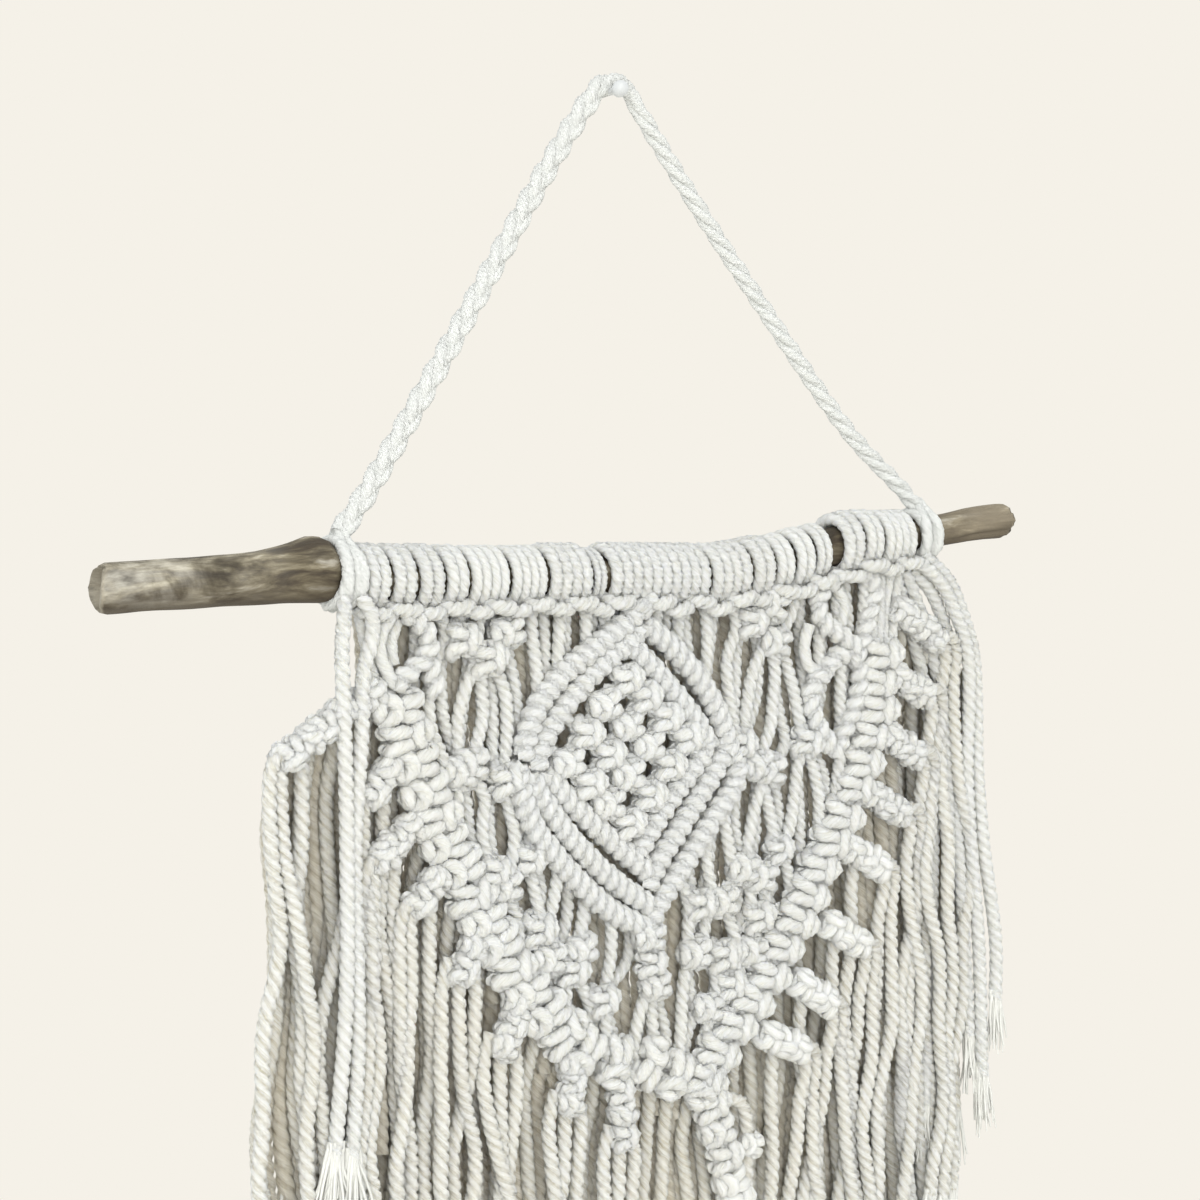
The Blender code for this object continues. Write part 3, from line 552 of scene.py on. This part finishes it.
# heading: loops over the rod, bights in front
heading = {"clear": 0.3, "gap": 0.75, "fill": 0.56, "from": -66, "turn": 268, "steps": 16, "lean": 0.5,
           "bareAt": 63.3, "bare": 3.4}  # at bareAt the rod shows widest
gaps = (  # u, loops up to the next gap
    (-93.4, 1), (-85.7, 1), (-77.9, 1), (-69.7, 1), (-62, 2), (-49.3, 2), (-37.2, 2), (-23, 1), (-17.5, 5),
    (16.5, 2), (31, 1), (39.2, 1), (46.3, 1), (53.5, 1), (63.3, 1), (71.4, 1), (78.8, 2), (91.6, 0))
loopPlaces, bightPlaces = [], []
for (left, pairs), (right, _) in zip(gaps, gaps[1:]):
    wide = heading["bare"] if right == heading["bareAt"] else 0
    pitch = (right - wide - left) / pairs
    spacing = (right - wide - left - 2 * heading["gap"]) / (2 * pairs)
    for index in range(2 * pairs):
        loopPlaces.append((left + heading["gap"] + spacing * (index + 0.5), spacing * heading["fill"]))
    for index in range(pairs):
        bightPlaces.append((left + pitch * (index + 0.5), pitch))
loopRuns = []
for u, radius in loopPlaces:
    lean = either(heading["lean"])
    run = []
    for step in range(heading["steps"] + 1):  # from the front's underside, over the top, to the back
        share = step / heading["steps"]
        angle = radians(heading["from"] + heading["turn"] * share)
        here = u + lean * (share - 0.4)
        d, rodRadius = rodAt(here)
        reach = rodRadius + heading["clear"] + radius
        run.append(place(here, d - sin(angle) * reach, panel["rodDepth"] + cos(angle) * reach, radius))
    loopRuns.append(run)
layCords("rodLoops", loopRuns, panelCotton, step=1.3, valley=0.87)

bight = {"radius": 1.72, "full": (0.94, 1.06), "depth": 22.2, "drop": 1.5,
         "stagger": (1.5, 0.9),  # every other one hangs lower, and nearer the wall
         "stray": 0.4, "tip": 0.6, "lap": 0.1}
bightShape = (  # across as a share of half its width, down, back, fullness, share of the tip's lean
    (-1, -1.2, 4.4, 1, 0), (-1, -0.5, 1.6, 1.06, 0), (-0.55, 0, 0, 1.12, -1),
    (0.55, 0, 0, 1.12, 1), (1, 0, 1.6, 1.06, 0), (1, -0.8, 4.4, 1, 0))
bightRuns = []
for index, (middle, pitch) in enumerate(bightPlaces):
    half = pitch * 0.5 + bight["lap"]
    lower, further = (0, 0) if index % 2 else bight["stagger"]
    drop = rodUnder(middle) + bight["drop"] + lower + either(bight["stray"])
    depth = bight["depth"] - further
    radius = bight["radius"] * dice.uniform(*bight["full"])
    tip = either(bight["tip"])
    bightRuns.append([place(middle + half * across, drop + down + tip * lean, depth - back, radius * full)
                      for across, down, back, full, lean in bightShape])
layCords("headingBights", bightRuns, panelCotton, step=0.9, pitch=7, valley=0.8)
print("heading laid")

# cords between the heading and the V
inner = {"from": -76, "to": 73, "count": 38, "radius": 1.85, "layers": (-1.5, 0.8), "shortest": 4, "lap": 3,
         "step": 7, "wave": 0.9, "ripple": 0.5}
pull = {"within": 9, "share": 0.55, "reach": 7, "most": 5}
pullPlaces = [(u, d) for u, d, *_ in groupPlaces if d < 125]


def armD(u):  # the d of the V at u
    for line in (sorted(leftArm), sorted(rightArm)):
        for a, b in zip(line, line[1:]):
            if a[0] <= u <= b[0]:
                return a[1] + (b[1] - a[1]) * (u - a[0]) / (b[0] - a[0])
    return 130


def diamondD(u):  # the diamond's upper and lower edge at u, or None
    if not -43 < u < 27:
        return None
    share = (u + 3) / (-40.5 if u < -3 else 31)
    return 9 + 36 * share, 92 - 42 * share


def pulled(u, d):  # cords crowd towards a knot they pass through
    shift = 0
    for knotU, knotD in pullPlaces:
        if abs(knotU - u) < pull["within"]:
            shift += (knotU - u) * pull["share"] * exp(-((d - knotD) / pull["reach"]) ** 2)
    return u + max(min(shift, pull["most"]), -pull["most"])


innerRuns = []
for index in range(inner["count"]):
    u = inner["from"] + (inner["to"] - inner["from"]) * index / (inner["count"] - 1)
    start, end = rodUnder(u) + 1, armD(u) + inner["lap"]
    edges = diamondD(u)
    spans = [(start, edges[0] + inner["lap"]), (edges[1] - inner["lap"], end)] if edges else [(start, end)]
    for top, bottom in spans:
        if bottom - top < inner["shortest"]:
            continue
        count = max(3, int((bottom - top) / inner["step"]))
        run = []
        for step in range(count + 1):
            down = top + (bottom - top) * step / count
            wave = inner["wave"] * sin(down * 0.11 + index * 1.9)
            depth = panel["depth"] + inner["layers"][index % 2] + inner["ripple"] * sin(down * 0.2 + index)
            run.append(place(pulled(u, down) + wave, down, depth, inner["radius"]))
        innerRuns.append(run)
layCords("innerCords", innerRuns, panelCotton, valley=0.8)

# cords hung slack behind the others, in a darker, warmer copy of the cotton that paints the shade seen through the
# gaps
rear = {"from": -88, "wide": 179, "count": 46, "radius": 2.4, "rootRadius": 1.9, "depth": 10, "rootDepth": 9,
        "left": -84, "right": 82, "below": 12, "under": 4, "behind": 2, "step": 10, "wave": 0.8, "uneven": 0.6}
rearRuns = []
for index in range(rear["count"]):
    u = rear["from"] + rear["wide"] * index / (rear["count"] - 1) + rear["uneven"] * sin(index * 2.3)
    d, rodRadius = rodAt(u)
    top, bottom = rodUnder(u) + rear["under"], armD(max(rear["left"], min(rear["right"], u))) + rear["below"]
    count = max(3, int((bottom - top) / rear["step"]))
    run = [place(u, d, panel["rodDepth"] - rodRadius - rear["behind"], rear["rootRadius"]),
           place(u, d + rodRadius * 0.7, rear["rootDepth"] - rodRadius * 0.2, rear["rootRadius"])]
    for step in range(count + 1):
        run.append(place(u + rear["wave"] * sin(step * 1.1 + index), top + (bottom - top) * step / count,
                         rear["depth"] + rear["uneven"] * sin(step + index), rear["radius"]))
    rearRuns.append(run)
layCords("rearCords", rearRuns, rearShadeCotton, step=1.9, perPly=3)

# fringe
fringe = {"radius": 2.1, "middle": 5, "half": 125, "sideEnd": 150, "drop": 140, "uneven": 5}
sway = {"far": 1.6, "length": 92, "spread": 64}
slack = {"slow": (1.4, 4.2), "quick": (0.4, 1.3), "shift": 3, "grownBy": 40, "step": 10, "rootFull": 0.97}


def fringeEnd(u, index):
    across = min(abs(u - fringe["middle"]) / fringe["half"], 1)
    return fringe["sideEnd"] + fringe["drop"] * (1 - across) + fringe["uneven"] * sin(2.4 * index)


def strandFrom(start, number, end, depth):  # from its last knot a cord turns down and hangs in slow waves
    run = [place(u, d, out, fringe["radius"] * slack["rootFull"]) for u, d, out in start]
    u, d, out = start[-1]
    count = max(5, int((end - d) / slack["step"]))
    slow, quick, shift = dice.uniform(*slack["slow"]), dice.uniform(*slack["quick"]), either(slack["shift"])
    phase = number * 2.3
    for step in range(1, count + 1):
        down = d + (end - d) * step / count
        grown = softStep((down - d) / slack["grownBy"])
        bend = slow * (sin(down * 0.048 + phase) - sin(d * 0.048 + phase))
        bend += quick * sin(down * 0.15 + phase * 1.7)
        settled = depth + 0.7 * sin(down * 0.07 + phase)
        run.append(place(u + (bend + shift) * grown, down, out + (settled - out) * grown, fringe["radius"]))
    return run


def branchStart(k, tip, go):  # where cord k of a branch comes out of its last knot: (u, d, depth)
    (u, d), (goU, goD) = tip, go
    if abs(goU) <= 0.6:
        return [(u + (k - 2) * 1.4, d - 3, 16.5 + k % 2), (u + (k - 2) * 2.6, d + 5, 16.5 + k % 2)]
    way = 1 if goU > 0 else -0.7
    if k == 4:  # one from below the knot
        return [(u - way * 7, d - 1, 16.5), (u - way * 7, d + 6, 15.5)]
    return [(u - goU * 3, d - goD * 3, 17.5), (u + goU * (3 + k), d + goD * 3 + 1 - k, 18 + k * 0.5),
            (u + way * (3.6 + 1.9 * k), d + 6.5 - k, 17.5), (u + way * (2.4 + 2.4 * k), d + 15 - k, 16.5)]


runs = {-1: [], 1: []}
number = 0
for rootU, rootD, tipU, tipD in branches:
    length = hypot(tipU - rootU, tipD - rootD)
    go = ((tipU - rootU) / length, (tipD - rootD) / length)
    side = -1 if tipU < fringe["middle"] else 1
    for k in (1, 3) if tipU > 85 else (0, 2, 4):
        number += 1
        depth = 13.6 + (number * 2 % 3) * 2.1
        runs[side].append(strandFrom(branchStart(k, (tipU, tipD), go), number, fringeEnd(tipU, number), depth))
for k in range(4):  # the cords of the middle row of knots
    number += 1
    start = [(29 + k * 1.2, 170, 16.5), (27.5 + k * 2.8, 178, 16)]
    runs[1].append(strandFrom(start, number, fringeEnd(28, k), 15.5))
start = [(24, 142, 18), (29, 143.5, 19), (31.5, 150, 18.5), (32, 156, 18)]  # and of the one beside it
runs[1].append(strandFrom(start, number + 1, fringeEnd(30, 9), 16))
ends = {side: list(runs[side]) for side in runs}


lastKnot = {"u": 84, "left": 21, "right": 11.5, "slope": 0.53}  # where the V's edge stops, and its d beyond


def hangingRun(lane, end, number, course):  # a cord behind the others, from the V's edge straight down
    beside = abs(lane) - lastKnot["u"]
    top = armD(lane) if beside < 0 else lastKnot["left" if lane < 0 else "right"] + beside * lastKnot["slope"]
    rootD, rootDepth = top + (3 if beside > 0 else 0), course["rootDepth"]
    count = max(6, int((end - rootD) / 9))
    run = []
    for step in range(count + 1):
        d = rootD + (end - rootD) * (step / count) ** 1.25
        settled = softStep((d - rootD) / 26)
        wave = course["loose"] * (1.9 * sin(d * 0.05 + number * 2.1) + 0.7 * sin(d * 0.13 + number))
        wave += sway["far"] * sin(tau * (d / sway["length"] + lane / sway["spread"]))
        depth = course["depth"] + 0.5 * sin(d * 0.09 + number)
        run.append(place(lane + wave * settled, d, rootDepth + (depth - rootDepth) * settled,
                         fringe["radius"] * course["full"]))
    return run


courses = (  # two layers behind the knots, from the outermost lane to the inset
    {"depth": 9.6, "count": 14, "left": 115, "right": 118, "inset": 3, "shorter": 3, "rootDepth": 14,
     "full": 1, "loose": 1},
    {"depth": 5.2, "count": 30, "left": 112, "right": 118, "inset": 2.4, "shorter": 8, "rootDepth": 10,
     "full": 1.26, "loose": 0.4})
courseRuns = {(side, layer): [] for side in (-1, 1) for layer in (0, 1)}
for side in (-1, 1):
    for layer, course in enumerate(courses):
        outer = course["right" if side > 0 else "left"]
        for index in range(course["count"]):
            share = index / (course["count"] - 1)
            lane = side * (outer - (outer - course["inset"]) * share) + 5 * share ** 3
            end = fringeEnd(lane, index + 40 * layer) - course["shorter"]
            courseRuns[side, layer].append(hangingRun(lane, end, index + 50, course))
        ends[side] += courseRuns[side, layer]
for side, word in ((-1, "Left"), (1, "Right")):
    front = layCords("fringeFront" + word, runs[side], frontCotton, step=1.4, valley=0.8)
    # the middle and back courses use darker, warmer copies of the cotton: painted shade behind the front cords
    layCords("fringeMiddle" + word, courseRuns[side, 0], middleShadeCotton, step=1.7, valley=0.8)
    layCords("fringeBack" + word, courseRuns[side, 1], rearShadeCotton, step=1.9, perPly=3)
    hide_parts("fringe_left" if side < 0 else "fringe_right")

sideTable = (  # (u, d, depth) of each long cord at the sides, the left ones first
    ((-99.7, -1, 21), (-100.2, 3.2, 21.5), (-101, 11.3, 21.5), (-100.8, 20, 21.5), (-100.2, 36, 21.3),
     (-99.6, 56.6, 21), (-99.8, 100, 20.5), (-103, 137, 20)),
    ((-95.5, -1, 21), (-92.6, 3.5, 22), (-92.2, 9, 22), (-94.2, 15.8, 21.5), (-95, 22, 21.3), (-95, 32, 21),
     (-96.1, 48.6, 20.5), (-96.8, 63, 20.2), (-96, 110, 20), (-98, 139, 20)),
    ((94.3, -2.5, 19), (98.5, 0.2, 19), (106.2, 6.4, 18.5), (112.4, 17.3, 18), (116.4, 26.5, 17.5),
     (118.2, 40, 17), (118.8, 58, 17), (121.3, 80, 17), (127, 112, 17), (127, 128, 17)),
    ((93, 0, 20), (101.4, 6.2, 20), (107.5, 15.3, 19.5), (112.5, 25.3, 19), (114.5, 39.7, 18),
     (114.8, 57.7, 17), (116.5, 76, 16.5), (121, 110, 16), (123, 150, 16)),
    ((90, 2, 17), (95, 11, 16.5), (101, 23, 15.5), (107, 40, 14.5), (110, 62, 14), (111, 100, 13.5), (109, 150, 13)),
    ((87, 3, 16), (92, 14, 15.5), (98, 28, 14.5), (103, 46, 14), (105, 80, 13.5), (103, 156, 13)),
    ((92, 2, 17), (99.2, 7.5, 17), (106, 17.5, 16), (111, 30, 14.5), (112, 60, 14), (115.5, 92, 14),
     (119.5, 138, 14)))
sideRuns = [[place(u, d, depth, 2.05) for u, d, depth in route] for route in sideTable]
layCords("sideCords", sideRuns, panelCotton, valley=0.84)

# combed ends: each cord is untwisted there, like a soft brush
fray = {"radius": 0.46, "length": (11, 21), "spread": (0.6, 3.4), "curl": 0.9, "mass": 1.5, "back": 3, "steps": 4}
plainEnd = {"strands": 30, "wide": 1, "long": 1}
brushEnd = {"strands": 64, "wide": 2.2, "long": 1.25}  # of the two long cords at the left
coreShape = ((-2, 1.9, 0), (3, 1.7, 0.5), (8, 1.1, 0), (12, 0.5, 0))  # mm past the tip, radius, power of the width
frayRuns = []
for run in ends[-1] + sideRuns[:2] + ends[1] + sideRuns[2:]:
    end = brushEnd if run in sideRuns[:2] else plainEnd
    tip, before = run[-1], run[-2]
    downwards = (tip.xyz - before.xyz).normalized()
    for strand in range(end["strands"]):
        angle = 2.4 * strand
        far = sqrt((strand + 0.5) / end["strands"])
        spread = Vector((cos(angle), sin(angle) * 0.7, 0)) * far
        length = dice.uniform(*fray["length"]) * end["long"] * unit
        wide = dice.uniform(*fray["spread"]) * end["wide"] * unit
        curl = either(fray["curl"]) * unit
        base = tip.xyz + spread * fray["mass"] * unit - downwards * fray["back"] * unit
        strandRun = []
        for step in range(fray["steps"] + 1):
            share = step / fray["steps"]
            where = base + downwards * length * share + spread * wide * share ** 1.3
            where += Vector((curl * sin(share * 5 + strand), 0, 0))
            strandRun.append(thickened(where, fray["radius"] * (1.4 - 0.8 * share)))
        frayRuns.append(strandRun)
    frayRuns.append([thickened(tip.xyz + downwards * past * unit, full * end["wide"] ** power)
                     for past, full, power in coreShape])
layCords("frayedEnds", frayRuns, combedCotton, step=4.5, plies=1)
print("fringe laid")

# hanger: a braid of three cords, plaited flat up to the pin and twisted like rope past it
hanger = {"wide": 1.5, "thick": 0.75, "cordRadius": 1.75, "period": 23, "core": 2,
          "rope": 1.1, "ropeRadius": 1.4, "ropePeriod": 21, "ropeCore": 1, "ropeFrom": 0.47, "ropeBy": 20}
hangerLine = (  # u, d, depth
    (-96.8, -15.4, 14), (-89, -24.5, 13.7), (-61.2, -62.5, 12.4), (-44.6, -86, 11.6), (-29, -107.8, 10.8),
    (-16.4, -123.6, 10.2), (-12, -127.8, 10.1), (-7.6, -128.9, 10), (-3.4, -127.4, 10.1), (0.6, -121.8, 10.3),
    (20, -97, 11.1), (37.2, -76.4, 11.8), (72.4, -36.4, 13.2), (91, -20.8, 13.8), (97.5, -14.8, 14))
spine, spineLengths = smoothRoute([place(u, d, depth, 1) for u, d, depth in hangerLine], 1)
crest = spineLengths[-1] * hanger["ropeFrom"]


def roping(length):  # 0 where it is plaited, 1 where it is twisted
    return softStep((length - crest) / (hanger["ropeBy"] * unit))


def blend(flat, roped, share):
    return hanger[flat] + (hanger[roped] - hanger[flat]) * share


braidRuns = [[thickened(spot.xyz, blend("core", "ropeCore", roping(length)))
              for spot, length in zip(spine[::3], spineLengths[::3])]]
for strand in range(3):
    run = []
    for index in range(0, len(spine), 2):
        spot, length = spine[index], spineLengths[index]
        ahead = (spine[min(index + 2, len(spine) - 1)].xyz - spine[max(index - 2, 0)].xyz).normalized()
        out, sideways = sidesOf(ahead)
        phase = tau * (length / (hanger["period"] * unit) + strand / 3)
        turn = tau * (length / (hanger["ropePeriod"] * unit) + strand / 3)
        roped = roping(length)
        across = hanger["wide"] * sin(phase) * (1 - roped) + hanger["rope"] * sin(turn) * roped
        lift = hanger["thick"] * sin(2 * phase) * (1 - roped) - hanger["rope"] * cos(turn) * roped
        where = spot.xyz + (sideways * across + out * lift) * unit
        run.append(thickened(where, blend("cordRadius", "ropeRadius", roped)))
    braidRuns.append(run)
tie = {"radius": 1.6, "clear": 0.3, "steps": 24}
ties = ((-99.6, 6.3, 1.5), (-96.4, 5.8, -0.5), (98.6, 4.4, 0.8), (95.2, 4.5, -0.8))  # u, the rod's radius, lean
for u, rodRadius, lean in ties:  # round the rod
    reach = rodRadius + tie["clear"] + tie["radius"]
    run = []
    for step in range(tie["steps"] + 1):
        angle = tau * (step / tie["steps"] - 0.25)
        here = u + lean * sin(angle * 0.5)
        run.append(place(here, rodAt(here)[0] - sin(angle) * reach, panel["rodDepth"] + cos(angle) * reach,
                         tie["radius"]))
    braidRuns.append(run)
for u, braidEnd, _ in (hangerLine[0], hangerLine[-1]):  # the braid parts and goes round the rod
    d, rodRadius = rodAt(u)
    top = place(u, braidEnd, 14, 1.5) + Vector((0, 0, 0.002, 0))
    for spread, out in ((-2.6, 1), (1.6, 1), (-0.5, -1)):
        near, far = panel["rodDepth"] + out * 2.5, panel["rodDepth"] + out * (rodRadius + 2)
        braidRuns.append([top, place(u + spread * 0.5, d - rodRadius - 2.4, near, 1.6),
                          place(u + spread, d - 3, far, 1.7), place(u + spread, d + 3, far, 1.7),
                          place(u + spread * 0.8, d + rodRadius + 1.5, near, 1.6)])
braid = layKnots("braidedHanger", braidRuns, hangerCotton, step=1.2)
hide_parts("hanger_cord")
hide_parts("macrame_panel")
print("hanger laid")

# driftwood rod
wood = {"around": 36, "fine": 1.6, "coarse": 3, "coarseFrom": -90, "coarseTo": 88, "round": 0.7,
        "endFull": 0.88, "lumps": 0.7, "grooves": 0.44, "covered": 0.4, "coveredFrom": -98, "coveredTo": 94}
rodStart, rodEnd = rodLine[0][0], rodLine[-1][0]
ringPlaces = [rodStart, rodStart + wood["round"]]  # the sawn ends are a little rounded
u = rodStart
while u < rodEnd:
    u += wood["coarse"] if wood["coarseFrom"] <= u <= wood["coarseTo"] else wood["fine"]
    if u < rodEnd:
        ringPlaces.append(u)
ringPlaces += [rodEnd - wood["round"], rodEnd]
work = bmesh.new()
bmesh.ops.create_circle(work, cap_ends=True, segments=wood["around"], radius=unit)
edge, rings = work.edges[:], [work.verts[:]]
for _ in ringPlaces[1:]:
    made = bmesh.ops.extrude_edge_only(work, edges=edge)["geom"]
    edge = [g for g in made if isinstance(g, bmesh.types.BMEdge)]
    rings.append([g for g in made if isinstance(g, bmesh.types.BMVert)])
bmesh.ops.contextual_create(work, geom=edge)
for u, ring in zip(ringPlaces, rings):
    d, radius = rodAt(u)
    for vert in ring:
        angle = atan2(vert.co.y, vert.co.x)
        x, y = cos(angle), sin(angle)
        lump = noise.noise(Vector((u * 0.06, x * 1.3, y * 1.3))) * wood["lumps"]
        groove = noise.noise(Vector((u * 0.025, x * 4.5, y * 4.5 + 7))) * wood["grooves"]
        knuckle = 0.9 * exp(-((u + 104) / 5) ** 2) * max(0, cos(angle - 1.9))
        rough = wood["covered"] if wood["coveredFrom"] < u < wood["coveredTo"] else 1
        r = (radius + (lump + groove) * rough + knuckle) * (wood["endFull"] if u in (rodStart, rodEnd) else 1)
        slant = 1.6 - 2.4 * cos(angle + 0.2) if u < rodStart + 1 else 0
        vert.co = place(u + slant, d - r * y, panel["rodDepth"] + r * x, r).xyz
bmesh.ops.recalc_face_normals(work, faces=work.faces)
driftwood = solidPiece("driftwoodRod", work, weatheredDriftwood())
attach(driftwood, "root")
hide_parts("driftwood_rod")

# wall pin
pin = {"steps": 32, "slope": 0.18, "aside": 0.07, "drop": 0.7, "over": 0.9}
pinOutline = (  # radius, distance from the wall
    (0, 17.6), (0.8, 17.5), (1.5, 17.1), (2, 16.4), (2.2, 15.7), (2.15, 15), (1.8, 14.4), (1.3, 14),
    (1.1, 13.6), (0.9, 11), (0.8, 0), (0, 0))
work = bmesh.new()
verts = [work.verts.new((r * unit, -y * unit, 0)) for r, y in pinOutline]
edges = [work.edges.new(pair) for pair in zip(verts, verts[1:])]
bmesh.ops.spin(work, geom=verts + edges, cent=(0, 0, 0), axis=(0, 1, 0), angle=tau, steps=pin["steps"],
               use_merge=True)
bmesh.ops.remove_doubles(work, verts=work.verts, dist=0.01 * unit)
for vert in work.verts:  # it is driven in sloping up and a little aside
    vert.co.z -= vert.co.y * pin["slope"] + pin["drop"] * unit
    vert.co.x -= vert.co.y * pin["aside"] - pin["over"] * unit
bmesh.ops.recalc_face_normals(work, faces=work.faces)
wallPin = solidPiece("wallPin", work, mouldedPin())
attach(wallPin, "root")
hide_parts("wall_peg")
print("rod and pin made")

# floor, light and camera
stageSet = {"floorDrop": -1.25, "floorRadius": 2.6, "floor": "e8e4da", "paper": "f5f1e8", "fill": "f9fbfb",
            "fillStrength": 1.19}
work = bmesh.new()
bmesh.ops.create_circle(work, cap_ends=True, segments=96, radius=stageSet["floorRadius"])
bmesh.ops.translate(work, verts=work.verts, vec=(0, 0, stageSet["floorDrop"]))
paint, _, paintShader = newMaterial("paleFloorPaint")
paintShader.inputs["Base Color"].default_value = hexLinear(stageSet["floor"])
paintShader.inputs["Roughness"].default_value = 0.9
solidPiece("paleFloor", work, paint)

world = bpy.data.worlds.new("studio")
bpy.context.scene.world = world
world.use_nodes = True
sky = world.node_tree
paper = sky.nodes["Background"]
paper.inputs["Color"].default_value = hexLinear(stageSet["paper"])
fill = addNode(sky, "Background", {"Color": hexLinear(stageSet["fill"]), "Strength": stageSet["fillStrength"]})
seen = addNode(sky, "LightPath")
both = addNode(sky, "MixShader", {}, {0: seen.outputs["Is Camera Ray"], 1: fill, 2: paper})
sky.links.new(both.outputs[0], sky.nodes["World Output"].inputs["Surface"])
bpy.context.scene.view_settings.view_transform = "Standard"


def softLight(name, where, aim, size, power, colour):
    data = bpy.data.lights.new(name, "AREA")
    data.shape = "DISK"
    data.size = size
    data.energy = power
    data.color = hexLinear(colour)[:3]
    lamp = addObject(name, data)
    lamp.location = where
    lamp.rotation_euler = (Vector(aim) - Vector(where)).to_track_quat("-Z", "Y").to_euler()


softLight("keyLight", (-0.7, -1.3, 1.1), (0.02, 0, -0.22), size=0.9, power=6.2, colour="fffdf8")
softLight("frontLight", (-0.72, -1.08, -0.05), (0.02, 0, -0.25), size=1.2, power=9.6, colour="fffefa")

view = {"eye": (-0.54984, -0.71346, -0.05233), "look": (0.6133, 0.7850, -0.0872), "lens": 102.6}
cameraData = bpy.data.cameras.new("camera")
cameraData.lens = view["lens"]
cameraData.clip_start = 0.05
camera = addObject("camera", cameraData)
camera.location = view["eye"]
camera.rotation_euler = Vector(view["look"]).to_track_quat("-Z", "Y").to_euler()
bpy.context.scene.camera = camera

print("scene ready")
